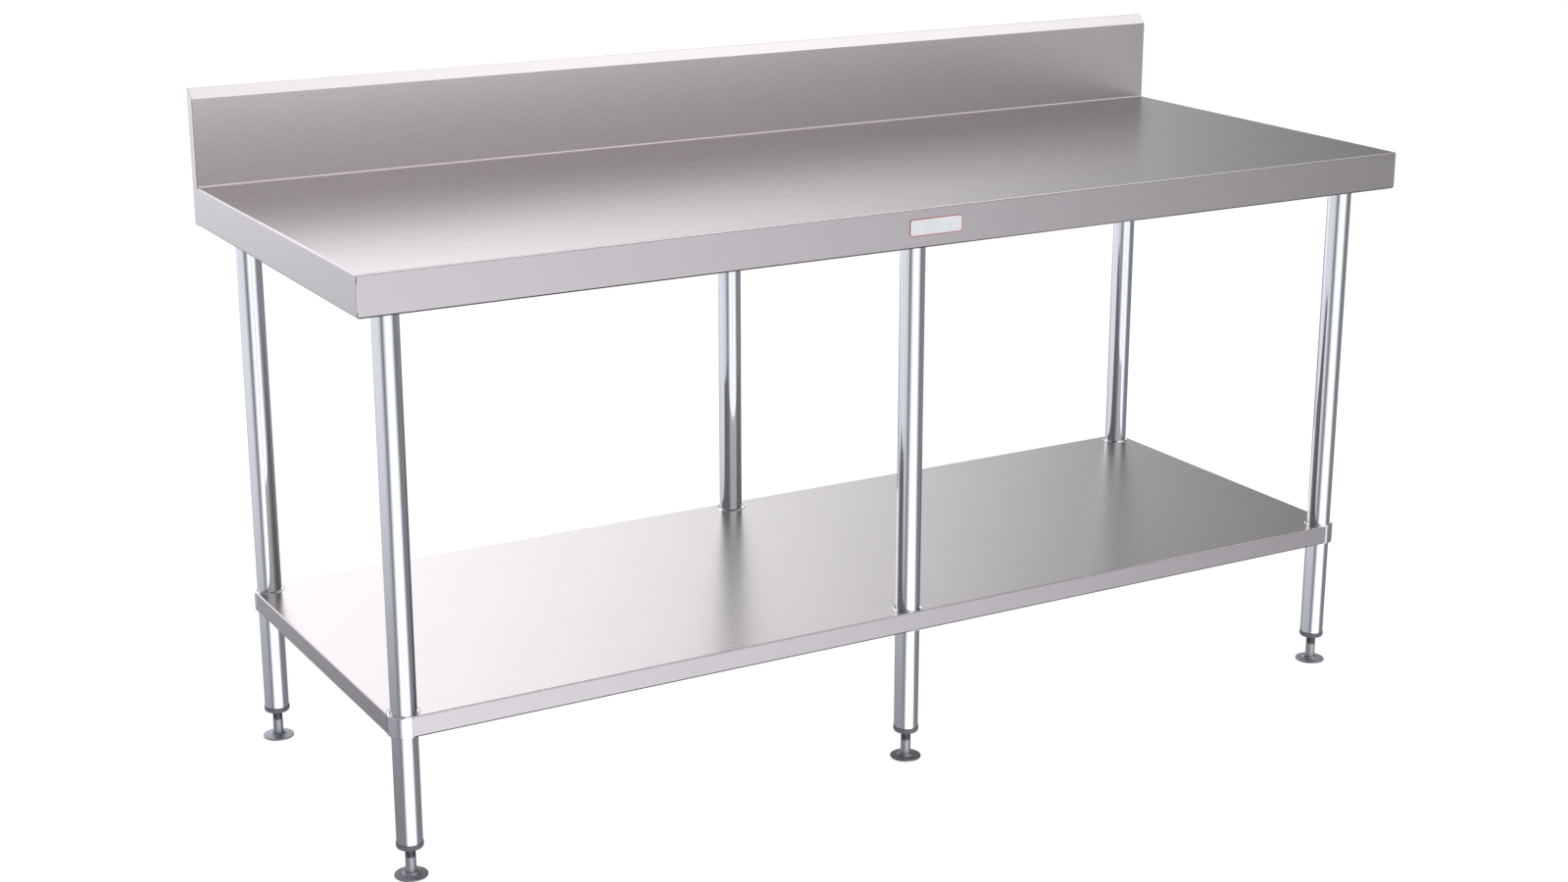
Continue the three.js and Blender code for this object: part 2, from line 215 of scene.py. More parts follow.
def block(name: str, low: Sequence[float], high: Sequence[float]) -> bpy.types.Object:
    """A plain block between two corners, to cut with."""
    form = bmesh.new()
    middle = (Vector(low) + Vector(high)) / 2
    size = Vector(high) - Vector(low)
    bmesh.ops.create_cube(form, size=1, matrix=Matrix.Translation(middle) @ Matrix.Diagonal((*size, 1)))
    return new_piece(name, form)


def rod(name: str, radius: float, start: Vector, end: Vector, sides: int = ROUND_SIDES) -> bpy.types.Object:
    """A plain round rod between two points, to cut with."""
    form = bmesh.new()
    axis = end - start
    turn = axis.to_track_quat("Z", "Y").to_matrix().to_4x4()
    place = Matrix.Translation((start + end) / 2) @ turn
    bmesh.ops.create_cone(
        form, cap_ends=True, segments=sides, radius1=radius, radius2=radius, depth=axis.length, matrix=place
    )
    return new_piece(name, form)


def turned(
    name: str, section: Sequence[Point2], sides: int = ROUND_SIDES, ring: bool = True
) -> bpy.types.Object:
    """Turns a section about the Z axis.

    The UV map runs round the axis in U, and along the section in V, in metres, for the marks of the lathe.

    Args:
        name: The piece's name.
        section: Points of radius and height that run anticlockwise.
        sides: Sides of the turned form.
        ring: Whether the section closes on itself, or starts and ends on the axis.

    Returns:
        The piece.
    """
    form = bmesh.new()
    uv = form.loops.layers.uv.new(TURNING_UV)
    rows = []
    for radius, height in section:
        if radius < ON_AXIS:
            rows.append([form.verts.new((0, 0, height))] * sides)
            continue
        angles = [math.tau * side / sides for side in range(sides)]
        rows.append([form.verts.new((radius * math.cos(a), radius * math.sin(a), height)) for a in angles])
    travel = [0.0]
    closed = [*section, section[0]] if ring else list(section)
    for here, there in zip(closed, closed[1:]):
        travel.append(travel[-1] + math.dist(here, there))
    if ring:
        rows.append(rows[0])
    for level, (lower, upper) in enumerate(zip(rows, rows[1:])):
        for side in range(sides):
            after = (side + 1) % sides
            corners = [(lower, side, 0), (lower, after, 1), (upper, after, 1), (upper, side, 0)]
            rim = list(dict.fromkeys(row[index] for row, index, _ in corners))
            if len(rim) < 3:
                continue
            face = form.faces.new(rim)
            for loop, (row, _, step) in zip(face.loops, corners):
                loop[uv].uv = ((side + step) / sides, travel[level + (row is upper)])
    return new_piece(name, form)


def join(piece: bpy.types.Object, others: Iterable[bpy.types.Object]) -> bpy.types.Object:
    """Adds other pieces' meshes and their materials to a piece, and removes them."""
    form = bmesh.new()
    form.from_mesh(piece.data)
    for other in others:
        first_face, first_slot = len(form.faces), len(piece.data.materials)
        form.from_mesh(other.data)
        form.faces.ensure_lookup_table()
        for face in form.faces[first_face:]:
            face.material_index += first_slot
        for material in other.data.materials:
            piece.data.materials.append(material)
        bpy.data.objects.remove(other)
    form.to_mesh(piece.data)
    form.free()
    return piece


def screw_boss(
    ring: bpy.types.Object, level: float, radius: float, root: float, end: float
) -> bpy.types.Object:
    """Joins a boss towards +Y to a ring on the Z axis, and drills it for its set screw.

    Args:
        ring: The ring.
        level: The height of the boss's axis.
        radius: The boss's radius.
        root: How far from the Z axis it starts.
        end: How far from the Z axis it ends.

    Returns:
        The ring with its boss.
    """
    boss = rod("boss", radius, Vector((0, root, level)), Vector((0, end, level)), BOSS_SIDES)
    ring = cut(ring, boss, Cut.JOINED)
    hole = rod("hole", SCREW_HOLE, Vector((0, 0, level)), Vector((0, DRILL_END, level)), BOSS_SIDES)
    return cut(ring, hole)


def copy_at(pattern: bpy.types.Object, name: str, place: Matrix) -> bpy.types.Object:
    """A copy of a pattern piece, with its place in its mesh."""
    piece = bpy.data.objects.new(name, pattern.data.copy())
    piece.data.transform(place)
    bpy.context.scene.collection.objects.link(piece)
    return piece


def hand_over(
    piece: bpy.types.Object, material: bpy.types.Material, body: str, slot: str, *nodes: str
) -> None:
    """Gives a finished piece its finish and its body, and lets it stand for its CAD nodes.

    Args:
        piece: The finished piece.
        material: Its finish, where it has none yet.
        body: The CAD body that it rides on.
        slot: The record's material slot; not used.
        nodes: The CAD nodes that it stands for.
    """
    if not piece.data.materials:
        piece.data.materials.append(material)
    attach(piece, body)
    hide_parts(*nodes)
    log.info("%s: %d faces on %s", piece.name, len(piece.data.polygons), body)


# ---- Geometry Nodes ------------------------------------------------------------------------------


def add_input(tree: bpy.types.NodeTree, name: str, kind: str, value: float | int | None = None) -> None:
    """Adds a named input to a tree, with its default value."""
    socket = tree.interface.new_socket(name=name, in_out="INPUT", socket_type=kind)
    if value is not None:
        socket.default_value = value


def new_tree(name: str) -> bpy.types.NodeTree:
    """A geometry tree that takes a geometry and a material, and gives a geometry."""
    tree = bpy.data.node_groups.new(name, "GeometryNodeTree")
    add_input(tree, "Geometry", "NodeSocketGeometry")
    add_input(tree, "Finish", "NodeSocketMaterial")
    tree.interface.new_socket(name="Geometry", in_out="OUTPUT", socket_type="NodeSocketGeometry")
    return tree


def run_tree(piece: bpy.types.Object, tree: bpy.types.NodeTree, **values: object) -> bpy.types.Object:
    """Runs a tree on a piece and bakes the result.

    Args:
        piece: The piece whose mesh goes in.
        tree: The tree.
        values: The inputs' values, with underscores for the spaces in their names.

    Returns:
        The same piece, with the result as its mesh.
    """
    modifier = piece.modifiers.new(tree.name, "NODES")
    modifier.node_group = tree
    identifiers = {
        item.name: item.identifier
        for item in tree.interface.items_tree
        if item.item_type == "SOCKET" and item.in_out == "INPUT"
    }
    for name, value in values.items():
        modifier[identifiers[name.replace("_", " ")]] = value
    return bake(piece)


def folding_tree() -> bpy.types.NodeTree:
    """Draws a section, given as a line of edges, out along X into a folded strip."""
    tree = new_tree("folding")
    add_input(tree, "Length", "NodeSocketFloat", 1.0)
    nodes, links = tree.nodes, tree.links

    entry = nodes.new("NodeGroupInput")
    entry.label = "What goes in"
    entry.location = (-800, 0)
    reach = nodes.new("ShaderNodeCombineXYZ")
    reach.label = "Length of the strip"
    reach.location = (-600, -160)
    draw = nodes.new("GeometryNodeExtrudeMesh")
    draw.label = "Draw the section out"
    draw.location = (-400, 0)
    half = nodes.new("ShaderNodeVectorMath")
    half.label = "Half the length, backwards"
    half.location = (-400, -260)
    centre = nodes.new("GeometryNodeSetPosition")
    centre.label = "Centre the strip"
    centre.location = (-200, 0)
    real = nodes.new("GeometryNodeRealizeInstances")
    real.label = "Make it real"
    real.location = (0, 0)
    finish = nodes.new("GeometryNodeSetMaterial")
    finish.label = "Finish it"
    finish.location = (200, 0)
    leave = nodes.new("NodeGroupOutput")
    leave.label = "What comes out"
    leave.location = (400, 0)

    draw.mode = "EDGES"
    draw.inputs["Offset Scale"].default_value = 1.0
    half.operation = "SCALE"
    half.inputs["Scale"].default_value = -0.5

    links.new(entry.outputs["Length"], reach.inputs["X"])
    links.new(entry.outputs["Geometry"], draw.inputs["Mesh"])
    links.new(reach.outputs["Vector"], draw.inputs["Offset"])
    links.new(reach.outputs["Vector"], half.inputs[0])
    links.new(draw.outputs["Mesh"], centre.inputs["Geometry"])
    links.new(half.outputs["Vector"], centre.inputs["Offset"])
    links.new(centre.outputs["Geometry"], real.inputs["Geometry"])
    links.new(real.outputs["Geometry"], finish.inputs["Geometry"])
    links.new(entry.outputs["Finish"], finish.inputs["Material"])
    links.new(finish.outputs["Geometry"], leave.inputs["Geometry"])
    return tree


def thread_tree() -> bpy.types.NodeTree:
    """Winds a screw thread about Z and adds it to the rod that goes in."""
    tree = new_tree("screw_thread")
    add_input(tree, "Radius", "NodeSocketFloat", 0.008)
    add_input(tree, "Pitch", "NodeSocketFloat", 0.002)
    add_input(tree, "Turns", "NodeSocketFloat", 10.0)
    add_input(tree, "Crest", "NodeSocketFloat", 0.0009)
    add_input(tree, "Start", "NodeSocketFloat", 0.0)
    add_input(tree, "Steps", "NodeSocketInt", 32)
    nodes, links = tree.nodes, tree.links

    entry = nodes.new("NodeGroupInput")
    entry.label = "What goes in"
    entry.location = (-1000, 0)
    rise = nodes.new("ShaderNodeMath")
    rise.label = "Height of all the turns"
    rise.location = (-800, -160)
    root = nodes.new("ShaderNodeMath")
    root.label = "Radius of the helix"
    root.location = (-800, 60)
    helix = nodes.new("GeometryNodeCurveSpiral")
    helix.label = "Helix"
    helix.location = (-600, 0)
    upright = nodes.new("GeometryNodeSetCurveNormal")
    upright.label = "Keep the crest upright"
    upright.location = (-400, 0)
    crest = nodes.new("GeometryNodeCurvePrimitiveCircle")
    crest.label = "Section of the crest"
    crest.location = (-400, -200)
    sweep = nodes.new("GeometryNodeCurveToMesh")
    sweep.label = "Sweep the crest"
    sweep.location = (-200, 0)
    height = nodes.new("ShaderNodeCombineXYZ")
    height.label = "Start of the thread"
    height.location = (-200, -260)
    lift = nodes.new("GeometryNodeTransform")
    lift.label = "Lift it to its start"
    lift.location = (0, 0)
    together = nodes.new("GeometryNodeJoinGeometry")
    together.label = "Add it to the piece"
    together.location = (200, 0)
    real = nodes.new("GeometryNodeRealizeInstances")
    real.label = "Make it real"
    real.location = (400, 0)
    finish = nodes.new("GeometryNodeSetMaterial")
    finish.label = "Finish it"
    finish.location = (600, 0)
    leave = nodes.new("NodeGroupOutput")
    leave.label = "What comes out"
    leave.location = (800, 0)

    rise.operation = "MULTIPLY"
    root.operation = "SUBTRACT"
    upright.mode = "Z_UP"
    crest.mode = "RADIUS"
    crest.inputs["Resolution"].default_value = 4
    sweep.inputs["Fill Caps"].default_value = True

    links.new(entry.outputs["Pitch"], rise.inputs[0])
    links.new(entry.outputs["Turns"], rise.inputs[1])
    links.new(entry.outputs["Radius"], root.inputs[0])
    links.new(entry.outputs["Crest"], root.inputs[1])
    links.new(entry.outputs["Steps"], helix.inputs["Resolution"])
    links.new(entry.outputs["Turns"], helix.inputs["Rotations"])
    links.new(root.outputs["Value"], helix.inputs["Start Radius"])
    links.new(root.outputs["Value"], helix.inputs["End Radius"])
    links.new(rise.outputs["Value"], helix.inputs["Height"])
    links.new(helix.outputs["Curve"], upright.inputs["Curve"])
    links.new(entry.outputs["Crest"], crest.inputs["Radius"])
    links.new(upright.outputs["Curve"], sweep.inputs["Curve"])
    links.new(crest.outputs["Curve"], sweep.inputs["Profile Curve"])
    links.new(entry.outputs["Start"], height.inputs["Z"])
    links.new(sweep.outputs["Mesh"], lift.inputs["Geometry"])
    links.new(height.outputs["Vector"], lift.inputs["Translation"])
    links.new(entry.outputs["Geometry"], together.inputs["Geometry"])
    links.new(lift.outputs["Geometry"], together.inputs["Geometry"])
    links.new(together.outputs["Geometry"], real.inputs["Geometry"])
    links.new(real.outputs["Geometry"], finish.inputs["Geometry"])
    links.new(entry.outputs["Finish"], finish.inputs["Material"])
    links.new(finish.outputs["Geometry"], leave.inputs["Geometry"])
    return tree


def weld_ring_tree() -> bpy.types.NodeTree:
    """Lays overlapping weld ripples in a ring about Z and adds them to the piece that goes in."""
    tree = new_tree("weld_ring")
    add_input(tree, "Radius", "NodeSocketFloat", 0.023)
    add_input(tree, "Height", "NodeSocketFloat", 0.0)
    add_input(tree, "Ripples", "NodeSocketInt", 44)
    add_input(tree, "Ripple Size", "NodeSocketFloat", 0.0022)
    add_input(tree, "Seed", "NodeSocketInt", 3)
    nodes, links = tree.nodes, tree.links

    entry = nodes.new("NodeGroupInput")
    entry.label = "What goes in"
    entry.location = (-1000, 0)
    path = nodes.new("GeometryNodeCurvePrimitiveCircle")
    path.label = "Path of the weld"
    path.location = (-800, 0)
    spots = nodes.new("GeometryNodeCurveToPoints")
    spots.label = "One point for each ripple"
    spots.location = (-600, 0)
    ripple = nodes.new("GeometryNodeMeshIcoSphere")
    ripple.label = "Ripple"
    ripple.location = (-600, -220)
    uneven = nodes.new("FunctionNodeRandomValue")
    uneven.label = "Uneven hand"
    uneven.location = (-600, -400)
    lay = nodes.new("GeometryNodeInstanceOnPoints")
    lay.label = "Lay the ripples"
    lay.location = (-400, 0)
    level = nodes.new("ShaderNodeCombineXYZ")
    level.label = "Height of the seam"
    level.location = (-400, -260)
    lift = nodes.new("GeometryNodeTransform")
    lift.label = "Lift the weld to its seam"
    lift.location = (-200, 0)
    together = nodes.new("GeometryNodeJoinGeometry")
    together.label = "Add it to the piece"
    together.location = (0, 0)
    real = nodes.new("GeometryNodeRealizeInstances")
    real.label = "Make it real"
    real.location = (200, 0)
    finish = nodes.new("GeometryNodeSetMaterial")
    finish.label = "Finish it"
    finish.location = (400, 0)
    leave = nodes.new("NodeGroupOutput")
    leave.label = "What comes out"
    leave.location = (600, 0)

    path.mode = "RADIUS"
    path.inputs["Resolution"].default_value = 64
    spots.mode = "COUNT"
    ripple.inputs["Subdivisions"].default_value = 2
    uneven.data_type = "FLOAT"
    uneven.inputs[2].default_value = 0.85
    uneven.inputs[3].default_value = 1.1

    links.new(entry.outputs["Radius"], path.inputs["Radius"])
    links.new(path.outputs["Curve"], spots.inputs["Curve"])
    links.new(entry.outputs["Ripples"], spots.inputs["Count"])
    links.new(entry.outputs["Ripple Size"], ripple.inputs["Radius"])
    links.new(entry.outputs["Seed"], uneven.inputs["Seed"])
    links.new(spots.outputs["Points"], lay.inputs["Points"])
    links.new(ripple.outputs["Mesh"], lay.inputs["Instance"])
    links.new(uneven.outputs[1], lay.inputs["Scale"])
    links.new(entry.outputs["Height"], level.inputs["Z"])
    links.new(lay.outputs["Instances"], lift.inputs["Geometry"])
    links.new(level.outputs["Vector"], lift.inputs["Translation"])
    links.new(entry.outputs["Geometry"], together.inputs["Geometry"])
    links.new(lift.outputs["Geometry"], together.inputs["Geometry"])
    links.new(together.outputs["Geometry"], real.inputs["Geometry"])
    links.new(real.outputs["Geometry"], finish.inputs["Geometry"])
    links.new(entry.outputs["Finish"], finish.inputs["Material"])
    links.new(finish.outputs["Geometry"], leave.inputs["Geometry"])
    return tree


# ---- Finishes ------------------------------------------------------------------------------------


class Grain(Enum):
    """The direction of a sheet's brushing, as the pattern's scale along X, Y and Z in marks per metre."""

    ALONG_X = (2.5, 900.0, 900.0)
    ALONG_Y = (900.0, 2.5, 900.0)
    ALONG_Z = (900.0, 900.0, 2.5)


def new_material(name: str) -> bpy.types.Material:
    """A node material with no nodes in it yet."""
    material = bpy.data.materials.new(name)
    material.use_nodes = True
    material.node_tree.nodes.clear()
    return material


@dataclass(frozen=True)
class BrushedSheet:
    """Satin stainless sheet: fine brushing one way, soft smudges and a few hairline scratches."""

    name: str
    grain: Grain
    colour: Colour = (0.545, 0.50, 0.49)
    roughness: float = 0.27

    def material(self) -> bpy.types.Material:
        """The finish's material, in the piece's own coordinates."""
        material = new_material(self.name)
        nodes, links = material.node_tree.nodes, material.node_tree.links

        place = nodes.new("ShaderNodeTexCoord")
        place.label = "Place on the sheet"
        place.location = (-1400, 0)

        brushing = nodes.new("NodeFrame")
        brushing.label = "Brushing"
        stretch = nodes.new("ShaderNodeMapping")
        stretch.label = "Stretch along the grain"
        stretch.location = (-1150, 200)
        lines = nodes.new("ShaderNodeTexNoise")
        lines.label = "Brush lines"
        lines.location = (-950, 200)
        relief = nodes.new("ShaderNodeBump")
        relief.label = "Depth of the brush lines"
        relief.location = (-250, -350)
        sheen = nodes.new("ShaderNodeMapRange")
        sheen.label = "Roughness across the lines"
        sheen.location = (-700, 0)

        handling = nodes.new("NodeFrame")
        handling.label = "Wiping and handling"
        smudge = nodes.new("ShaderNodeTexNoise")
        smudge.label = "Wiped patches"
        smudge.location = (-950, -150)
        dulling = nodes.new("ShaderNodeMapRange")
        dulling.label = "Dull patches"
        dulling.location = (-700, -250)
        skew = nodes.new("ShaderNodeMapping")
        skew.label = "Scratches lie askew"
        skew.location = (-1150, -500)
        hairs = nodes.new("ShaderNodeTexNoise")
        hairs.label = "Hairlines"
        hairs.location = (-950, -500)
        few = nodes.new("ShaderNodeMapRange")
        few.label = "Only a few scratches"
        few.location = (-700, -500)
        dull = nodes.new("ShaderNodeMath")
        dull.label = "Brushing and patches"
        dull.location = (-450, -100)
        worn = nodes.new("ShaderNodeMath")
        worn.label = "And scratches"
        worn.location = (-250, -100)

        tone = nodes.new("ShaderNodeMix")
        tone.label = "Steel, lighter and darker"
        tone.location = (-450, 250)
        steel = nodes.new("ShaderNodeBsdfPrincipled")
        steel.label = "Stainless steel"
        steel.location = (0, 0)
        surface = nodes.new("ShaderNodeOutputMaterial")
        surface.label = "Surface out"
        surface.location = (300, 0)

        for node in (stretch, lines, relief, sheen):
            node.parent = brushing
        for node in (smudge, dulling, skew, hairs, few, dull, worn):
            node.parent = handling

        stretch.inputs["Scale"].default_value = self.grain.value
        lines.inputs["Scale"].default_value = 1.0
        lines.inputs["Detail"].default_value = 3.0
        lines.inputs["Roughness"].default_value = 0.65
        sheen.inputs["From Min"].default_value = 0.3
        sheen.inputs["From Max"].default_value = 0.7
        sheen.inputs["To Min"].default_value = self.roughness - 0.008
        sheen.inputs["To Max"].default_value = self.roughness + 0.008
        smudge.inputs["Scale"].default_value = 3.5
        smudge.inputs["Detail"].default_value = 4.0
        dulling.inputs["From Min"].default_value = 0.4
        dulling.inputs["From Max"].default_value = 0.75
        dulling.inputs["To Min"].default_value = 0.0
        dulling.inputs["To Max"].default_value = 0.012
        skew.inputs["Rotation"].default_value = (0.4, 0.3, 0.6)
        skew.inputs["Scale"].default_value = (9.0, 700.0, 700.0)
        hairs.inputs["Scale"].default_value = 1.0
        hairs.inputs["Detail"].default_value = 1.0
        few.inputs["From Min"].default_value = 0.72
        few.inputs["From Max"].default_value = 0.8
        few.inputs["To Max"].default_value = 0.05
        dull.operation = "ADD"
        worn.operation = "ADD"
        relief.inputs["Strength"].default_value = 0.005
        relief.inputs["Distance"].default_value = 0.00002
        tone.data_type = "RGBA"
        tone.inputs[6].default_value = (*(c * 0.988 for c in self.colour), 1)
        tone.inputs[7].default_value = (*(c * 1.012 for c in self.colour), 1)
        steel.inputs["Metallic"].default_value = 1.0

        links.new(place.outputs["Object"], stretch.inputs["Vector"])
        links.new(stretch.outputs["Vector"], lines.inputs["Vector"])
        links.new(lines.outputs["Fac"], sheen.inputs["Value"])
        links.new(lines.outputs["Fac"], tone.inputs["Factor"])
        links.new(lines.outputs["Fac"], relief.inputs["Height"])
        links.new(place.outputs["Object"], smudge.inputs["Vector"])
        links.new(smudge.outputs["Fac"], dulling.inputs["Value"])
        links.new(place.outputs["Object"], skew.inputs["Vector"])
        links.new(skew.outputs["Vector"], hairs.inputs["Vector"])
        links.new(hairs.outputs["Fac"], few.inputs["Value"])
        links.new(sheen.outputs["Result"], dull.inputs[0])
        links.new(dulling.outputs["Result"], dull.inputs[1])
        links.new(dull.outputs["Value"], worn.inputs[0])
        links.new(few.outputs["Result"], worn.inputs[1])
        links.new(tone.outputs[2], steel.inputs["Base Color"])
        links.new(worn.outputs["Value"], steel.inputs["Roughness"])
        links.new(relief.outputs["Normal"], steel.inputs["Normal"])
        links.new(steel.outputs["BSDF"], surface.inputs["Surface"])
        return material


@dataclass(frozen=True)
class PolishedTube:
    """Bright polished tube: faint draw lines along it and light finger marks."""

    name: str
    colour: Colour = (0.82, 0.82, 0.83)
    roughness: float = 0.07

    def material(self) -> bpy.types.Material:
        """The finish's material, in the piece's own coordinates."""
        material = new_material(self.name)
        nodes, links = material.node_tree.nodes, material.node_tree.links

        place = nodes.new("ShaderNodeTexCoord")
        place.label = "Place on the tube"
        place.location = (-1200, 0)

        drawing = nodes.new("NodeFrame")
        drawing.label = "Draw lines"
        stretch = nodes.new("ShaderNodeMapping")
        stretch.label = "Stretch up the tube"
        stretch.location = (-1000, 150)
        lines = nodes.new("ShaderNodeTexNoise")
        lines.label = "Lines left by the die"
        lines.location = (-800, 150)
        relief = nodes.new("ShaderNodeBump")
        relief.label = "Depth of the lines"
        relief.location = (-250, -250)

        handling = nodes.new("NodeFrame")
        handling.label = "Finger marks"
        marks = nodes.new("ShaderNodeTexNoise")
        marks.label = "Marks"
        marks.location = (-800, -150)
        haze = nodes.new("ShaderNodeMapRange")
        haze.label = "Haze where it was held"
        haze.location = (-550, -150)

        tone = nodes.new("ShaderNodeMix")
        tone.label = "Steel, lighter and darker"
        tone.location = (-400, 200)
        steel = nodes.new("ShaderNodeBsdfPrincipled")
        steel.label = "Polished steel"
        steel.location = (0, 0)
        surface = nodes.new("ShaderNodeOutputMaterial")
        surface.label = "Surface out"
        surface.location = (300, 0)

        for node in (stretch, lines, relief):
            node.parent = drawing
        for node in (marks, haze):
            node.parent = handling

        stretch.inputs["Scale"].default_value = (700.0, 700.0, 3.0)
        lines.inputs["Scale"].default_value = 1.0
        lines.inputs["Detail"].default_value = 2.0
        marks.inputs["Scale"].default_value = 22.0
        marks.inputs["Detail"].default_value = 3.0
        haze.inputs["From Min"].default_value = 0.45
        haze.inputs["From Max"].default_value = 0.8
        haze.inputs["To Min"].default_value = self.roughness
        haze.inputs["To Max"].default_value = self.roughness + 0.06
        relief.inputs["Strength"].default_value = 0.05
        relief.inputs["Distance"].default_value = 0.00002
        tone.data_type = "RGBA"
        tone.inputs[6].default_value = (*(c * 0.97 for c in self.colour), 1)
        tone.inputs[7].default_value = (*self.colour, 1)
        steel.inputs["Metallic"].default_value = 1.0

        links.new(place.outputs["Object"], stretch.inputs["Vector"])
        links.new(stretch.outputs["Vector"], lines.inputs["Vector"])
        links.new(lines.outputs["Fac"], tone.inputs["Factor"])
        links.new(lines.outputs["Fac"], relief.inputs["Height"])
        links.new(place.outputs["Object"], marks.inputs["Vector"])
        links.new(marks.outputs["Fac"], haze.inputs["Value"])
        links.new(tone.outputs[2], steel.inputs["Base Color"])
        links.new(haze.outputs["Result"], steel.inputs["Roughness"])
        links.new(relief.outputs["Normal"], steel.inputs["Normal"])
        links.new(steel.outputs["BSDF"], surface.inputs["Surface"])
        return material


@dataclass(frozen=True)
class Galvanised:
    """Hot-dip galvanised strip: dull crystals of zinc, each of its own tone."""

    name: str
    light: Colour = (0.60, 0.62, 0.64)
    dark: Colour = (0.40, 0.42, 0.44)
    crystals: float = 90.0

    def material(self) -> bpy.types.Material:
        """The finish's material, in the piece's own coordinates."""
        material = new_material(self.name)
        nodes, links = material.node_tree.nodes, material.node_tree.links

        place = nodes.new("ShaderNodeTexCoord")
        place.label = "Place on the strip"
        place.location = (-1200, 0)

        spangle = nodes.new("NodeFrame")
        spangle.label = "Spangle"
        warp = nodes.new("ShaderNodeTexNoise")
        warp.label = "Uneven cooling"
        warp.location = (-1000, -200)
        bent = nodes.new("ShaderNodeMix")
        bent.label = "Crystals pushed out of shape"
        bent.location = (-800, 0)
        cells = nodes.new("ShaderNodeTexVoronoi")
        cells.label = "Zinc crystals"
        cells.location = (-600, 0)
        each = nodes.new("ShaderNodeSeparateColor")
        each.label = "One value for each crystal"
        each.location = (-400, 0)
        tone = nodes.new("ShaderNodeMix")
        tone.label = "Tone of a crystal"
        tone.location = (-200, 150)
        sheen = nodes.new("ShaderNodeMapRange")
        sheen.label = "Sheen of a crystal"
        sheen.location = (-200, -100)
        relief = nodes.new("ShaderNodeBump")
        relief.label = "Edges of the crystals"
        relief.location = (-200, -350)

        zinc = nodes.new("ShaderNodeBsdfPrincipled")
        zinc.label = "Zinc"
        zinc.location = (50, 0)
        surface = nodes.new("ShaderNodeOutputMaterial")
        surface.label = "Surface out"
        surface.location = (350, 0)

        for node in (warp, bent, cells, each, tone, sheen, relief):
            node.parent = spangle

        warp.inputs["Scale"].default_value = 60.0
        bent.data_type = "VECTOR"
        bent.inputs["Factor"].default_value = 0.01
        cells.inputs["Scale"].default_value = self.crystals
        tone.data_type = "RGBA"
        tone.inputs[6].default_value = (*self.dark, 1)
        tone.inputs[7].default_value = (*self.light, 1)
        sheen.inputs["To Min"].default_value = 0.38
        sheen.inputs["To Max"].default_value = 0.6
        relief.inputs["Strength"].default_value = 0.15
        relief.inputs["Distance"].default_value = 0.0001
        zinc.inputs["Metallic"].default_value = 0.9

        links.new(place.outputs["Object"], warp.inputs["Vector"])
        links.new(place.outputs["Object"], bent.inputs[4])
        links.new(warp.outputs["Color"], bent.inputs[5])
        links.new(bent.outputs[1], cells.inputs["Vector"])
        links.new(cells.outputs["Color"], each.inputs["Color"])
        links.new(each.outputs["Red"], tone.inputs["Factor"])
        links.new(each.outputs["Green"], sheen.inputs["Value"])
        links.new(cells.outputs["Distance"], relief.inputs["Height"])
        links.new(tone.outputs[2], zinc.inputs["Base Color"])
        links.new(sheen.outputs["Result"], zinc.inputs["Roughness"])
        links.new(relief.outputs["Normal"], zinc.inputs["Normal"])
        links.new(zinc.outputs["BSDF"], surface.inputs["Surface"])
        return material


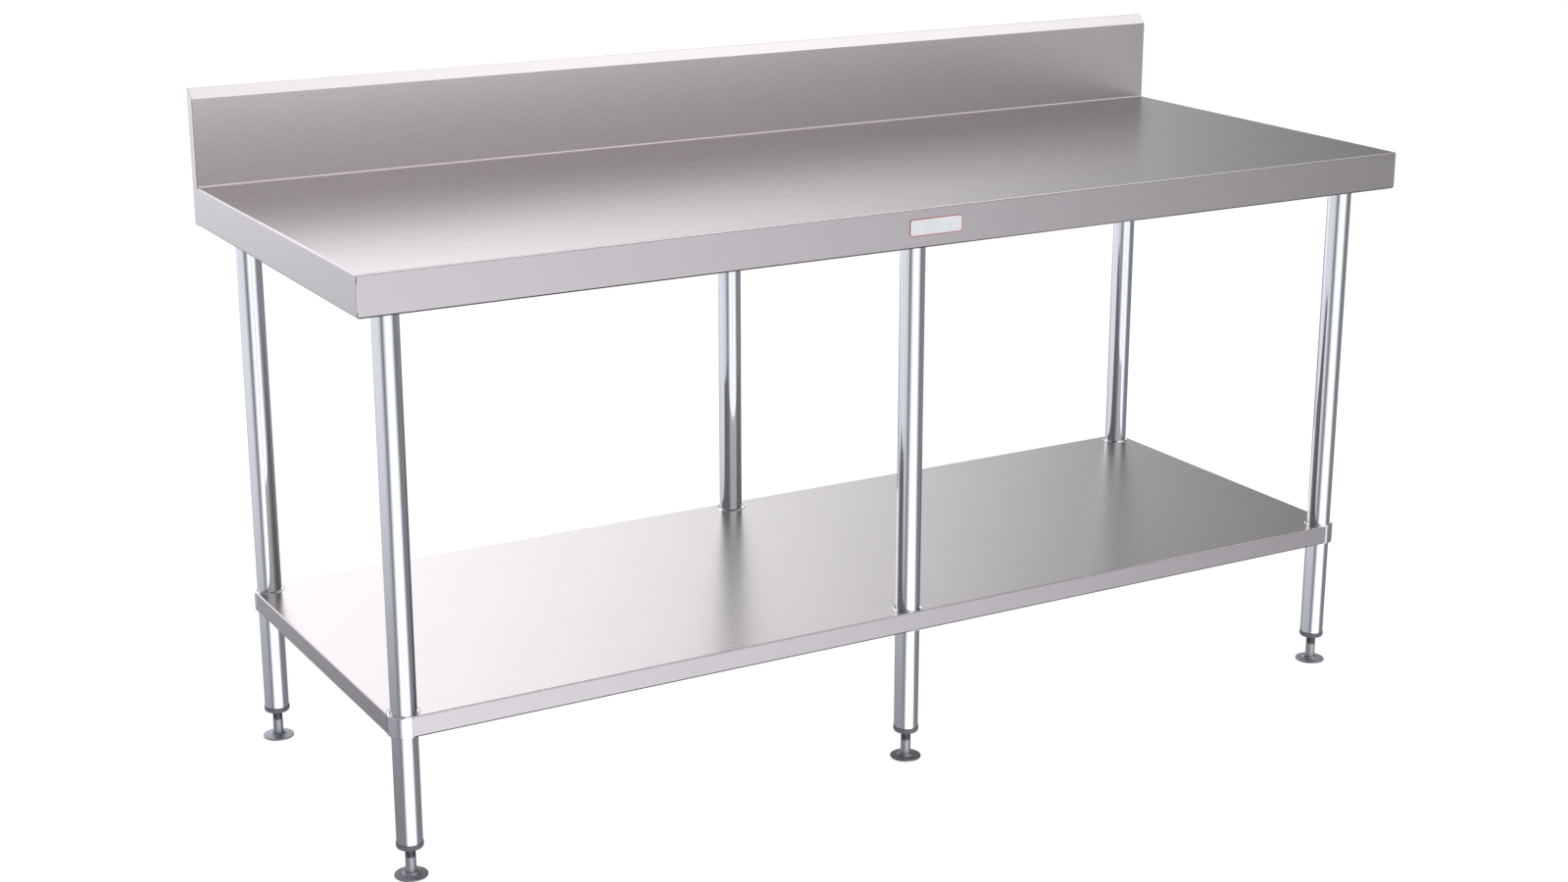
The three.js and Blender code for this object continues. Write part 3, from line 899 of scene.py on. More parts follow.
@dataclass(frozen=True)
class TurnedSteel:
    """Steel off a lathe: tool marks round the axis, read from the turning UV map, over a mottled tone."""

    name: str
    colour: Colour = (0.52, 0.52, 0.53)
    roughness: float = 0.28
    marks: float = 2600.0
    metallic: float = 1.0

    def material(self) -> bpy.types.Material:
        """The finish's material."""
        material = new_material(self.name)
        nodes, links = material.node_tree.nodes, material.node_tree.links

        turning = nodes.new("NodeFrame")
        turning.label = "Tool marks"
        along = nodes.new("ShaderNodeUVMap")
        along.label = "Way along the section"
        along.location = (-1200, 100)
        stretch = nodes.new("ShaderNodeMapping")
        stretch.label = "Rings round the axis"
        stretch.location = (-1000, 100)
        rings = nodes.new("ShaderNodeTexNoise")
        rings.label = "Tool marks"
        rings.location = (-800, 100)
        relief = nodes.new("ShaderNodeBump")
        relief.label = "Depth of the marks"
        relief.location = (-250, -250)
        sheen = nodes.new("ShaderNodeMapRange")
        sheen.label = "Roughness of the marks"
        sheen.location = (-550, 0)

        mottling = nodes.new("NodeFrame")
        mottling.label = "Mottled tone"
        place = nodes.new("ShaderNodeTexCoord")
        place.label = "Place on the piece"
        place.location = (-1200, -300)
        clouds = nodes.new("ShaderNodeTexNoise")
        clouds.label = "Oil and handling"
        clouds.location = (-800, -300)
        tone = nodes.new("ShaderNodeMix")
        tone.label = "Steel, lighter and darker"
        tone.location = (-400, 200)

        steel = nodes.new("ShaderNodeBsdfPrincipled")
        steel.label = "Turned steel"
        steel.location = (0, 0)
        surface = nodes.new("ShaderNodeOutputMaterial")
        surface.label = "Surface out"
        surface.location = (300, 0)

        for node in (along, stretch, rings, relief, sheen):
            node.parent = turning
        for node in (place, clouds, tone):
            node.parent = mottling

        along.uv_map = TURNING_UV
        stretch.inputs["Scale"].default_value = (3.0, self.marks, 1.0)
        rings.inputs["Scale"].default_value = 1.0
        rings.inputs["Detail"].default_value = 2.0
        sheen.inputs["To Min"].default_value = self.roughness - 0.04
        sheen.inputs["To Max"].default_value = self.roughness + 0.04
        clouds.inputs["Scale"].default_value = 80.0
        clouds.inputs["Detail"].default_value = 3.0
        tone.data_type = "RGBA"
        tone.inputs[6].default_value = (*(c * 0.95 for c in self.colour), 1)
        tone.inputs[7].default_value = (*(c * 1.05 for c in self.colour), 1)
        relief.inputs["Strength"].default_value = 0.015
        relief.inputs["Distance"].default_value = 0.00004
        steel.inputs["Metallic"].default_value = self.metallic

        links.new(along.outputs["UV"], stretch.inputs["Vector"])
        links.new(stretch.outputs["Vector"], rings.inputs["Vector"])
        links.new(rings.outputs["Fac"], sheen.inputs["Value"])
        links.new(rings.outputs["Fac"], relief.inputs["Height"])
        links.new(place.outputs["Object"], clouds.inputs["Vector"])
        links.new(clouds.outputs["Fac"], tone.inputs["Factor"])
        links.new(tone.outputs[2], steel.inputs["Base Color"])
        links.new(sheen.outputs["Result"], steel.inputs["Roughness"])
        links.new(relief.outputs["Normal"], steel.inputs["Normal"])
        links.new(steel.outputs["BSDF"], surface.inputs["Surface"])
        return material


@dataclass(frozen=True)
class Moulding:
    """A moulded or stove-enamelled surface: an even colour with a fine skin and slight clouding."""

    name: str
    colour: Colour
    roughness: float
    skin: float = 900.0
    metallic: float = 0.0

    def material(self) -> bpy.types.Material:
        """The finish's material, in the piece's own coordinates."""
        material = new_material(self.name)
        nodes, links = material.node_tree.nodes, material.node_tree.links

        place = nodes.new("ShaderNodeTexCoord")
        place.label = "Place on the piece"
        place.location = (-1000, 0)

        texture = nodes.new("NodeFrame")
        texture.label = "Skin of the mould"
        grains = nodes.new("ShaderNodeTexNoise")
        grains.label = "Fine grain"
        grains.location = (-800, -150)
        relief = nodes.new("ShaderNodeBump")
        relief.label = "Depth of the grain"
        relief.location = (-250, -250)
        sheen = nodes.new("ShaderNodeMapRange")
        sheen.label = "Sheen of the grain"
        sheen.location = (-500, 0)

        clouding = nodes.new("NodeFrame")
        clouding.label = "Clouding"
        clouds = nodes.new("ShaderNodeTexNoise")
        clouds.label = "Clouds"
        clouds.location = (-800, 200)
        tone = nodes.new("ShaderNodeMix")
        tone.label = "Colour, lighter and darker"
        tone.location = (-400, 250)

        base = nodes.new("ShaderNodeBsdfPrincipled")
        base.label = "Surface"
        base.location = (0, 0)
        surface = nodes.new("ShaderNodeOutputMaterial")
        surface.label = "Surface out"
        surface.location = (300, 0)

        for node in (grains, relief, sheen):
            node.parent = texture
        for node in (clouds, tone):
            node.parent = clouding

        grains.inputs["Scale"].default_value = self.skin
        clouds.inputs["Scale"].default_value = 40.0
        sheen.inputs["To Min"].default_value = self.roughness - 0.06
        sheen.inputs["To Max"].default_value = self.roughness + 0.06
        tone.data_type = "RGBA"
        tone.inputs[6].default_value = (*(c * 0.88 for c in self.colour), 1)
        tone.inputs[7].default_value = (*(min(1.0, c * 1.1) for c in self.colour), 1)
        relief.inputs["Strength"].default_value = 0.12
        relief.inputs["Distance"].default_value = 0.00008
        base.inputs["Metallic"].default_value = self.metallic

        links.new(place.outputs["Object"], grains.inputs["Vector"])
        links.new(grains.outputs["Fac"], sheen.inputs["Value"])
        links.new(grains.outputs["Fac"], relief.inputs["Height"])
        links.new(place.outputs["Object"], clouds.inputs["Vector"])
        links.new(clouds.outputs["Fac"], tone.inputs["Factor"])
        links.new(tone.outputs[2], base.inputs["Base Color"])
        links.new(sheen.outputs["Result"], base.inputs["Roughness"])
        links.new(relief.outputs["Normal"], base.inputs["Normal"])
        links.new(base.outputs["BSDF"], surface.inputs["Surface"])
        return material


class Finishes:
    """The table's finishes, each made once."""

    def __init__(self) -> None:
        """Makes every material that the table uses."""
        self.top = BrushedSheet("satin_worktop", Grain.ALONG_X).material()
        self.side = BrushedSheet("satin_end_plate", Grain.ALONG_Z).material()
        self.tube = PolishedTube("polished_tube").material()
        self.fitting = PolishedTube("polished_fitting", roughness=0.16).material()
        self.zinc = Galvanised("galvanised_strip").material()
        self.disc = TurnedSteel("turned_disc", colour=(0.40, 0.40, 0.42), roughness=0.55).material()
        self.stem = TurnedSteel("turned_stem", colour=(0.52, 0.52, 0.53), roughness=0.55).material()
        self.thread = TurnedSteel("rolled_thread", colour=(0.2, 0.2, 0.21), roughness=0.45).material()
        self.insert = Moulding("moulded_insert", colour=(0.15, 0.155, 0.17), roughness=0.42).material()
        self.screw = Moulding("blackened_screw", (0.06, 0.06, 0.065), 0.4, metallic=0.7).material()
        self.plate = Moulding("enamelled_plate", (0.86, 0.87, 0.88), 0.3, skin=400.0).material()
        self.border = Moulding("plate_border", (0.62, 0.05, 0.07), 0.35, skin=400.0).material()


# ---- Worktop -------------------------------------------------------------------------------------


@dataclass
class Tray:
    """A sheet folded down on three or four sides, with safe edges turned in underneath."""

    half_length: float
    front: float
    back: float
    bottom: float
    top: float
    open_back: bool
    sheet: float = 1.2 * MM
    top_bend: float = 3 * MM
    safe_edge: float = 2.4 * MM
    crease: float = 1.5 * MM
    lip: float = 12 * MM
    corner: float = 1.5 * MM

    def outline(self, inset: float, height: float) -> list[Vector]:
        """One level of the folded edge, as seen from above.

        Args:
            inset: How far inside the outer faces it runs.
            height: Its height.

        Returns:
            Points from the back left round the front to the back right, and round a closed back.
        """
        left, right = inset - self.half_length, self.half_length - inset
        front, back = self.front + inset, self.back - inset
        radius = max(self.corner - inset, 0.0)
        points = [(left, self.back)] if self.open_back else []
        points += arc((left + radius, front + radius), radius, 180, 270)
        points += arc((right - radius, front + radius), radius, 270, 360)
        if self.open_back:
            points.append((right, self.back))
        else:
            points += arc((right - radius, back - radius), radius, 0, 90)
            points += arc((left + radius, back - radius), radius, 90, 180)
        return [Vector((x, y, height)) for x, y in points]

    def section(self) -> list[Point2]:
        """Inset and height of each level, from the flat top to the lip's free edge."""
        bend, edge = self.top_bend, self.safe_edge
        levels = [(bend - x, y) for x, y in arc((0, self.top - bend), bend, 90, 0)]
        fold = [levels[-1], (0.0, self.bottom + edge), (edge, self.bottom), (self.lip, self.bottom)]
        return [*levels, *rounded_path(fold, [self.crease, self.crease], 4)[1:]]

    def surface(self, name: str) -> bpy.types.Object:
        """The outer face of the folded sheet, as an open surface."""
        form = bmesh.new()
        rows = [[form.verts.new(p) for p in self.outline(*level)] for level in self.section()]
        form.faces.new(rows[0])
        count = len(rows[0])
        for upper, lower in zip(rows, rows[1:]):
            for i in range(count - 1 if self.open_back else count):
                after = (i + 1) % count
                form.faces.new((upper[i], lower[i], lower[after], upper[after]))
        bmesh.ops.remove_doubles(form, verts=form.verts, dist=SAME_POINT)
        return new_piece(name, form)


@dataclass
class Worktop:
    """The worktop sheet with its splashback, its end plates, the rear apron and the badge."""

    finishes: Finishes
    folding: bpy.types.NodeTree
    sheet: float = 1.2 * MM
    splash_bend: float = 2.5 * MM
    ledge_bend: float = 1.5 * MM
    ledge_run: float = 16 * MM
    ledge_rise: float = 15 * MM
    return_fold: float = 30 * MM
    apron_bend: float = 2 * MM
    seam: float = 0.3 * MM
    corner_gap: float = 1.3 * MM
    seam_end: float = 3 * MM
    seam_reach: float = 8 * MM
    eased_edge: float = 0.15 * MM
    apron_lip: float = 12 * MM
    badge_border: float = 1.1 * MM
    badge_corner: float = 4.5 * MM
    badge_rise: float = 0.15 * MM

    def __post_init__(self) -> None:
        """Reads the worktop's places from the frame."""
        self.low, self.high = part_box("worktop_skin")
        mounts = {mount["name"]: mount for mount in frame["record"]["mounts"]}
        self.top = mounts["worktop_surface"]["pos_m"][2]
        self.splash_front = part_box("splashback_end_left")[0].y - self.seam
        self.inside = self.high.x - self.sheet - self.seam

    def folded_strip(self, name: str, path: Sequence[Point2], length: float) -> bpy.types.Object:
        """A strip of sheet with one section along X.

        Args:
            name: The piece's name.
            path: The section's outer line, in Y and Z.
            length: The strip's length.

        Returns:
            The strip, with its thickness.
        """
        form = bmesh.new()
        corners = [form.verts.new((0, y, z)) for y, z in path]
        for here, there in zip(corners, corners[1:]):
            form.edges.new((here, there))
        strip = run_tree(new_piece(name, form), self.folding, Length=length)
        strip.data.materials.clear()
        return thicken(strip, self.sheet)

    def build_sheet(self) -> bpy.types.Object:
        """The worktop and the splashback, which are one folded sheet."""
        tray = Tray(self.high.x, self.low.y, self.splash_front, self.low.z, self.top, open_back=True)
        worktop = thicken(tray.surface("worktop_skin_sheet"), self.sheet)
        ledge_front = self.high.z - self.ledge_rise
        path = rounded_path(
            [
                (self.splash_front - 2 * self.splash_bend, self.top),
                (self.splash_front, self.top),
                (self.splash_front, ledge_front),
                (self.splash_front + self.ledge_run, self.high.z),
                (self.high.y, self.high.z),
                (self.high.y, self.high.z - self.return_fold),
            ],
            [self.splash_bend, self.ledge_bend, self.ledge_bend, self.ledge_bend],
        )
        splash = self.folded_strip("splashback_sheet", path[1:], 2 * self.inside)
        for side in (-1, 1):
            worktop = cut(worktop, self.corner_seam(side))
        return smooth(join(worktop, [splash]))

    def corner_seam(self, side: int) -> bpy.types.Object:
        """The open seam where the front apron meets an end apron, as a thin upright wedge.

        Args:
            side: -1 for the left corner, 1 for the right one.

        Returns:
            A block to cut with.
        """
        reach, half = self.seam_reach, self.corner_gap / 2
        wedge = block("seam", (-half, -reach, self.low.z - MM), (half, reach, self.top - self.seam_end))
        turn = Matrix.Rotation(math.radians(45 * side), 4, "Z")
        wedge.data.transform(Matrix.Translation((side * self.high.x, self.low.y, 0)) @ turn)
        return wedge

    def build_end(self, side: str) -> bpy.types.Object:
        """The plate that closes one end of the splashback, with its edges eased."""
        low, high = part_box(f"splashback_end_{side}")
        front = self.splash_front
        outline = [
            (front, low.z),
            (high.y, low.z),
            (high.y, high.z),
            (front + self.ledge_run, high.z),
            (front, high.z - self.ledge_rise),
        ]
        form = bmesh.new()
        face = form.faces.new([form.verts.new((high.x, y, z)) for y, z in outline])
        draw_out(form, face, (low.x - high.x, 0, 0))
        plate = new_piece(f"splashback_end_{side}_plate", form)
        ease = plate.modifiers.new("eased_edges", "BEVEL")
        ease.width = self.eased_edge
        ease.segments = 2
        return smooth(bake(plate))

    def build_rear_apron(self) -> bpy.types.Object:
        """The folded strip that closes the back of the splashback and of the worktop."""
        low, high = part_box("rear_apron")
        path = rounded_path(
            [(low.y, high.z), (high.y, high.z), (high.y, low.z), (high.y - self.apron_lip, low.z)],
            [self.apron_bend, self.apron_bend],
        )
        return smooth(self.folded_strip("rear_apron_strip", path, high.x - low.x))

    def build_badge(self) -> bpy.types.Object:
        """A blank plate with rounded corners and a thin raised border."""
        low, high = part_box("badge")
        border, corner, rise = self.badge_border, self.badge_corner, self.badge_rise
        form = bmesh.new()
        levels = [
            (0.0, high.y),
            (0.0, low.y + rise),
            (rise, low.y),
            (border - rise, low.y),
            (border, low.y + rise),
        ]
        rows = []
        for inset, depth in levels:
            corners = (low.x + inset, low.z + inset), (high.x - inset, high.z - inset)
            rim = rounded_rectangle(*corners, corner - inset)
            rows.append([form.verts.new((x, depth, z)) for x, z in rim])
        count = len(rows[0])
        for lower, upper in zip(rows, rows[1:]):
            for i in range(count):
                after = (i + 1) % count
                form.faces.new((lower[i], lower[after], upper[after], upper[i])).material_index = 1
        form.faces.new(rows[-1]).material_index = 0
        form.faces.new(reversed(rows[0])).material_index = 0
        bmesh.ops.recalc_face_normals(form, faces=form.faces)
        badge = smooth(new_piece("badge_plate", form))
        badge.data.materials.append(self.finishes.plate)
        badge.data.materials.append(self.finishes.border)
        return badge

    def build(self) -> None:
        """Builds and dresses every piece of the worktop."""
        finishes = self.finishes
        hand_over(self.build_sheet(), finishes.top, "bench", "stainless_satin", "worktop_skin")
        for side in ("left", "right"):
            plate = self.build_end(side)
            hand_over(plate, finishes.side, "bench", "stainless_satin", f"splashback_end_{side}")
        hand_over(self.build_rear_apron(), finishes.top, "bench", "stainless_satin", "rear_apron")
        hand_over(self.build_badge(), finishes.plate, "bench", "badge_plate", "badge")


# ---- Undershelf ----------------------------------------------------------------------------------


@dataclass(frozen=True)
class Station:
    """The place of one leg: its name, its axis, and whether it stands in the middle of the length."""

    name: str
    axis: Vector
    middle: bool
    rear: bool

    @property
    def place(self) -> Matrix:
        """From a piece's own place on the Z axis, facing back, to this station."""
        turn = Matrix.Rotation(math.pi if self.rear else 0.0, 4, "Z")
        return Matrix.Translation((self.axis.x, self.axis.y, 0)) @ turn


def find_stations() -> list[Station]:
    """The legs' places, read from the frame."""
    stations = []
    for row in ("front", "rear"):
        for column in ("left", "middle", "right"):
            low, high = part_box(f"leg_{row}_{column}")
            name = f"{row}_{column}"
            stations.append(Station(name, (low + high) / 2, column == "middle", row == "rear"))
    return stations


@dataclass
class Undershelf:
    """The shelf pan, its stiffening rail and the collars that hold it on the legs."""

    finishes: Finishes
    stations: list[Station]
    sheet: float = 1.2 * MM
    clearance: float = 0.3 * MM
    collar_radius: float = 24 * MM
    collar_bore: float = 19.6 * MM
    collar_ease: float = 0.6 * MM
    boss_radius: float = 6.5 * MM
    boss_root: float = 1.5 * MM
    boss_end: float = 30 * MM
    top_bend: float = 2.2 * MM
    drill_past: float = 5 * MM

    def __post_init__(self) -> None:
        """Reads the shelf's places from the frame."""
        self.low, self.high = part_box("shelf_pan")

    def build_pan(self) -> bpy.types.Object:
        """The folded pan, cut away round the collars."""
        faces = self.high.x, self.low.y, self.high.y, self.low.z, self.high.z
        tray = Tray(*faces, open_back=False, top_bend=self.top_bend)
        pan = thicken(tray.surface("shelf_pan_sheet"), self.sheet)
        below, above = self.low.z - self.drill_past, self.high.z + self.drill_past
        for station in self.stations:
            axis = station.axis
            start, end = Vector((axis.x, axis.y, below)), Vector((axis.x, axis.y, above))
            hole = rod("hole", self.collar_radius + self.clearance, start, end)
            if station.middle:
                inner = self.high.y - self.sheet
                keep = block("keep", (-1, -inner, below - MM), (1, inner, above + MM))
                cut(hole, keep, Cut.SHARED)
            cut(pan, hole)
            if not station.middle:
                outer = Vector((math.copysign(1, axis.x), math.copysign(1, axis.y)))
                low = (min(axis.x, outer.x), min(axis.y, outer.y), below)
                high = (max(axis.x, outer.x), max(axis.y, outer.y), above)
                cut(pan, block("corner", low, high))
        return smooth(pan)

    def build_collar(self, flattened: bool) -> bpy.types.Object:
        """A collar on the Z axis, with its set screw boss towards +Y.

        Args:
            flattened: Whether it is cut flat to fit behind the pan's edge.

        Returns:
            The collar.
        """
        low, high = self.low.z, self.high.z
        outer, bore = self.collar_radius, self.collar_bore
        nose = (outer - bore) / 2
        ease = self.collar_ease
        section = [(bore, low + ease), (bore + ease, low), (outer - ease, low), (outer, low + ease)]
        section += arc((bore + nose, high - nose), nose, 0, 180, 16)
        collar = turned("collar", section)
        level = (low + high) / 2
        collar = screw_boss(collar, level, self.boss_radius, bore + self.boss_root, self.boss_end)
        if flattened:
            reach = self.collar_radius - self.sheet - self.clearance
            cut(collar, block("keep", (-1, -reach, low - MM), (1, 1, high + MM)), Cut.SHARED)
        return smooth(collar)

    def build(self) -> None:
        """Builds and dresses every piece of the undershelf."""
        finishes = self.finishes
        hand_over(self.build_pan(), finishes.top, "undershelf", "stainless_satin", "shelf_pan")
        patterns = {flat: self.build_collar(flat) for flat in (False, True)}
        for station in self.stations:
            name = f"shelf_collar_{station.name}"
            collar = copy_at(patterns[station.middle], f"{name}_ring", station.place)
            hand_over(collar, finishes.fitting, "undershelf", "stainless_polished", name)
        for pattern in patterns.values():
            bpy.data.objects.remove(pattern)


# ---- Legs and feet -------------------------------------------------------------------------------


@dataclass
class LegSet:
    """The legs, their sockets, set screws, inserts and feet."""

    finishes: Finishes
    stations: list[Station]
    thread: bpy.types.NodeTree
    weld: bpy.types.NodeTree
    wall: float = 1.2 * MM
    clearance: float = 0.3 * MM
    leg_ease: float = 0.3 * MM
    plate: float = 3 * MM
    plate_corner: float = 6 * MM
    cup_radius: float = 23 * MM
    cup_bore: float = 19.6 * MM
    cup_ease: float = 0.8 * MM
    boss_radius: float = 7 * MM
    boss_end: float = 29 * MM
    weld_ripple: float = 1.8 * MM
    screw_depth: float = 0.5 * MM
    screw_ease: float = 0.7 * MM
    screw_pitch: float = 1.25 * MM
    screw_crest: float = 0.55 * MM
    key_radius: float = 2.3 * MM
    key_depth: float = 4 * MM
    cap_fillet: float = 4 * MM
    cap_ease: float = 0.3 * MM
    insert_bore: float = 8.3 * MM
    bore_ease: float = 0.5 * MM
    plug_radius: float = 17.5 * MM
    disc_edge: float = 2.4 * MM
    hub_radius: float = 9.6 * MM
    hub_fillet: float = 8 * MM
    pin_socket: float = 5.4 * MM
    pin_floor: float = 2.3 * MM
    bolt_circle: float = 17 * MM
    bolt_radius: float = 2.5 * MM
    pin_radius: float = 5 * MM
    stem_base: float = 6 * MM
    stem_ease: float = 0.6 * MM
    stem_top: float = 30 * MM
    stud_core: float = 7.0 * MM
    stud_radius: float = 7.8 * MM
    stud_pitch: float = 2 * MM
    stud_crest: float = 0.95 * MM
    stud_plain: float = 2.5 * MM

    def __post_init__(self) -> None:
        """Takes one leg and its fittings as the pattern for all."""
        name = self.stations[0].name
        self.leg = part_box(f"leg_{name}")
        self.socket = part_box(f"leg_socket_{name}")
        self.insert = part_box(f"leg_insert_{name}")
        self.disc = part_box(f"foot_disc_{name}")
        self.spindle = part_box(f"foot_spindle_{name}")

    def build_leg(self) -> bpy.types.Object:
        """A tube with its cut ends slightly eased."""
        low, high = self.leg
        radius = (high.x - low.x) / 2
        inner, ease = radius - self.wall, self.leg_ease
        section = [
            (inner, low.z),
            (radius - ease, low.z),
            (radius, low.z + ease),
            (radius, high.z - ease),
            (radius - ease, high.z),
            (inner, high.z),
        ]
        return smooth(turned("leg", section))

    def build_socket(self) -> bpy.types.Object:
        """A plate with a welded cup and a boss for the set screw."""
        low, high = self.socket
        plate_low = high.z - self.plate
        x, y = (high.x - low.x) / 2, (high.y - low.y) / 2
        form = bmesh.new()
        rim = rounded_rectangle((-x, -y), (x, y), self.plate_corner)
        face = form.faces.new([form.verts.new((px, py, plate_low)) for px, py in rim])
        draw_out(form, face, (0, 0, high.z - plate_low))
        plate = new_piece("socket_plate", form)
        outer, bore, ease = self.cup_radius, self.cup_bore, self.cup_ease
        section = [
            (bore, plate_low),
            (bore, low.z + ease),
            (bore + ease, low.z),
            (outer - ease, low.z),
            (outer, low.z + ease),
            (outer, plate_low),
        ]
        cup = turned("cup", section)
        screw_low, screw_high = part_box(f"socket_screw_{self.stations[0].name}")
        level = (screw_low.z + screw_high.z) / 2
        cup = screw_boss(cup, level, self.boss_radius, bore + MM, self.boss_end)
        return run_tree(
            smooth(join(plate, [cup])),
            self.weld,
            Radius=outer,
            Height=plate_low,
            Ripple_Size=self.weld_ripple,
            Finish=self.finishes.fitting,
        )

    def build_screw(self) -> bpy.types.Object:
        """A grub screw along +Z from z = 0, with a hexagon socket in its end and a thread on its side."""
        low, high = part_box(f"socket_screw_{self.stations[0].name}")
        length, radius = high.y - low.y, (high.x - low.x) / 2
        core, ease = radius - self.screw_depth, self.screw_ease
        section = [(0, 0), (core - ease, 0), (core, ease)]
        section += [(core, length - ease), (core - ease, length), (0, length)]
        screw = turned("screw", section, 32, ring=False)
        start, end = Vector((0, 0, length - self.key_depth)), Vector((0, 0, length + MM))
        key = rod("key", self.key_radius, start, end, 6)
        screw = smooth(cut(screw, key))
        turns = (length - 2 * ease) / self.screw_pitch
        return run_tree(
            screw,
            self.thread,
            Radius=radius,
            Pitch=self.screw_pitch,
            Turns=turns,
            Crest=self.screw_crest,
            Start=ease,
            Steps=24,
            Finish=self.finishes.screw,
        )

    def build_insert(self) -> bpy.types.Object:
        """The moulded plug in a leg's end, with a rounded cap."""
        low, high = self.insert
        cap, fillet, ease = (high.x - low.x) / 2, self.cap_fillet, self.cap_ease
        bore, plug = self.insert_bore, self.plug_radius
        shoulder = self.leg[0].z - self.clearance
        section = [(bore + self.bore_ease, low.z)]
        section += arc((cap - fillet, low.z + fillet), fillet, -90, 0, 12)
        section += [(cap, shoulder - ease), (cap - ease, shoulder), (plug, shoulder)]
        section += [(plug, high.z), (bore, high.z), (bore, low.z + self.bore_ease)]
        return smooth(turned("insert", section))

    def build_disc(self) -> bpy.types.Object:
        """The foot's dished disc with its hub and two bolt holes."""
        low, high = self.disc
        radius, edge, hub = (high.x - low.x) / 2, self.disc_edge, self.hub_radius
        pin, floor = self.pin_socket, self.pin_floor
        section = [(0, 0), (radius - 0.4 * MM, 0), (radius, 0.4 * MM), (radius, edge - 0.7 * MM)]
        section += [(radius - 0.3 * MM, edge - 0.2 * MM), (radius - 1.0 * MM, edge)]
        slope = [(radius - 2 * MM, edge), (hub + 1.5 * MM, edge + MM), (hub, high.z)]
        section += rounded_path(slope, [self.hub_fillet])[1:]
        section += [(hub - 0.4 * MM, high.z), (pin, high.z), (pin, floor), (0, floor)]
        section = [(r, low.z + h if h < high.z else h) for r, h in section]
        disc = turned("disc", section, ring=False)
        for turn in (60, 240):
            angle = math.radians(turn)
            spot = Vector((self.bolt_circle * math.cos(angle), self.bolt_circle * math.sin(angle), 0))
            hole = rod("hole", self.bolt_radius, spot - Vector((0, 0, MM)), spot + Vector((0, 0, 8 * MM)), 32)
            disc = cut(disc, hole)
        return smooth(disc)

    def build_spindle(self) -> bpy.types.Object:
        """The foot's spindle: a pin and a smooth stem below, and a threaded stud above."""
        low, high = self.spindle
        pin, stem, shoulder = self.pin_radius, (high.x - low.x) / 2, self.stem_top
        stud, base, ease = self.stud_core, self.stem_base, self.stem_ease
        section = [(0, low.z), (pin, low.z), (pin, base), (stem - ease, base), (stem, base + ease)]
        section += [(stem, shoulder - ease), (stem - ease, shoulder), (0, shoulder)]
        lower = smooth(turned("spindle", section, 64, ring=False))
        lower.data.materials.append(self.finishes.stem)
        section = [(0, shoulder), (stud, shoulder), (stud, high.z - MM), (stud - MM, high.z), (0, high.z)]
        turns = (high.z - shoulder - self.stud_plain) / self.stud_pitch
        upper = run_tree(
            smooth(turned("stud", section, 64, ring=False)),
            self.thread,
            Radius=self.stud_radius,
            Pitch=self.stud_pitch,
            Turns=turns,
            Crest=self.stud_crest,
            Start=shoulder + MM,
            Steps=40,
            Finish=self.finishes.thread,
        )
        return join(lower, [upper])

    def build(self) -> None:
        """Builds one of each pattern and sets copies at the stations."""
        finishes = self.finishes
        rows = [
            ("leg", self.build_leg(), finishes.tube, "stainless_polished", "bench"),
            ("leg_socket", self.build_socket(), finishes.fitting, "stainless_satin", "bench"),
            ("leg_insert", self.build_insert(), finishes.insert, "insert_plastic", "bench"),
            ("foot_disc", self.build_disc(), finishes.disc, "foot_steel", "foot_{}"),
            ("foot_spindle", self.build_spindle(), finishes.stem, "foot_steel", "spindle_{}"),
        ]
        for kind, pattern, material, slot, body in rows:
            for station in self.stations:
                node = f"{kind}_{station.name}"
                piece = copy_at(pattern, f"{node}_piece", station.place)
                hand_over(piece, material, body.format(station.name), slot, node)
            bpy.data.objects.remove(pattern)
        screw = self.build_screw()
        lay = Matrix.Rotation(-math.pi / 2, 4, "X")
        for kind, body in (("socket_screw", "bench"), ("collar_screw", "undershelf")):
            for station in self.stations:
                node = f"{kind}_{station.name}"
                low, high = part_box(node)
                middle = (low + high) / 2
                inner = high.y if station.rear else low.y
                turn = Matrix.Rotation(math.pi if station.rear else 0.0, 4, "Z")
                place = Matrix.Translation((middle.x, inner, middle.z)) @ turn @ lay
                hand_over(copy_at(screw, f"{node}_piece", place), finishes.screw, body, "set_screw", node)
        bpy.data.objects.remove(screw)


@dataclass
class Understructure:
    """The galvanised rails and channels, which keep their CAD shapes."""

    finishes: Finishes

    def build(self) -> None:
        """Dresses the carried-over sections in zinc."""
        names = [f"top_cross_channel_{side}" for side in ("left", "middle", "right")]
        names += ["top_rail_front", "top_rail_rear", "shelf_rail"]
        for name in names:
            node = frame["nodes"][name]
            node.data.materials.clear()
            node.data.materials.append(self.finishes.zinc)
            log.info("%s: galvanised", name)


# ---- Studio --------------------------------------------------------------------------------------


@dataclass(frozen=True)
class SoftBox:
    """A soft light on the studio's walls, with angles in degrees and bearings from the front to the right."""

    name: str
    bearing: float
    half_width: float
    fade: float
    low: float
    high: float
    brightness: float

    @property
    def towards(self) -> tuple[float, float, float]:
        """The level direction of the light's middle."""
        angle = math.radians(self.bearing)
        return (math.sin(angle), -math.cos(angle), 0.0)


SOFT_BOXES = [
    SoftBox("Front wall", 0, 5, 45, -40, 20, 1.05),
    SoftBox("Floor in front", 0, 30, 30, -50, -20, 0.5),
    SoftBox("Left wall", -120, 30, 40, -20, 0, 0.65),
    SoftBox("Rear wall", 180, 5, 40, -10, 40, 1.0),
    SoftBox("Rear wall, upper half", 180, 5, 40, 10, 45, 0.8),
    SoftBox("Right ceiling", 60, 30, 60, 45, 90, 1.5),
]


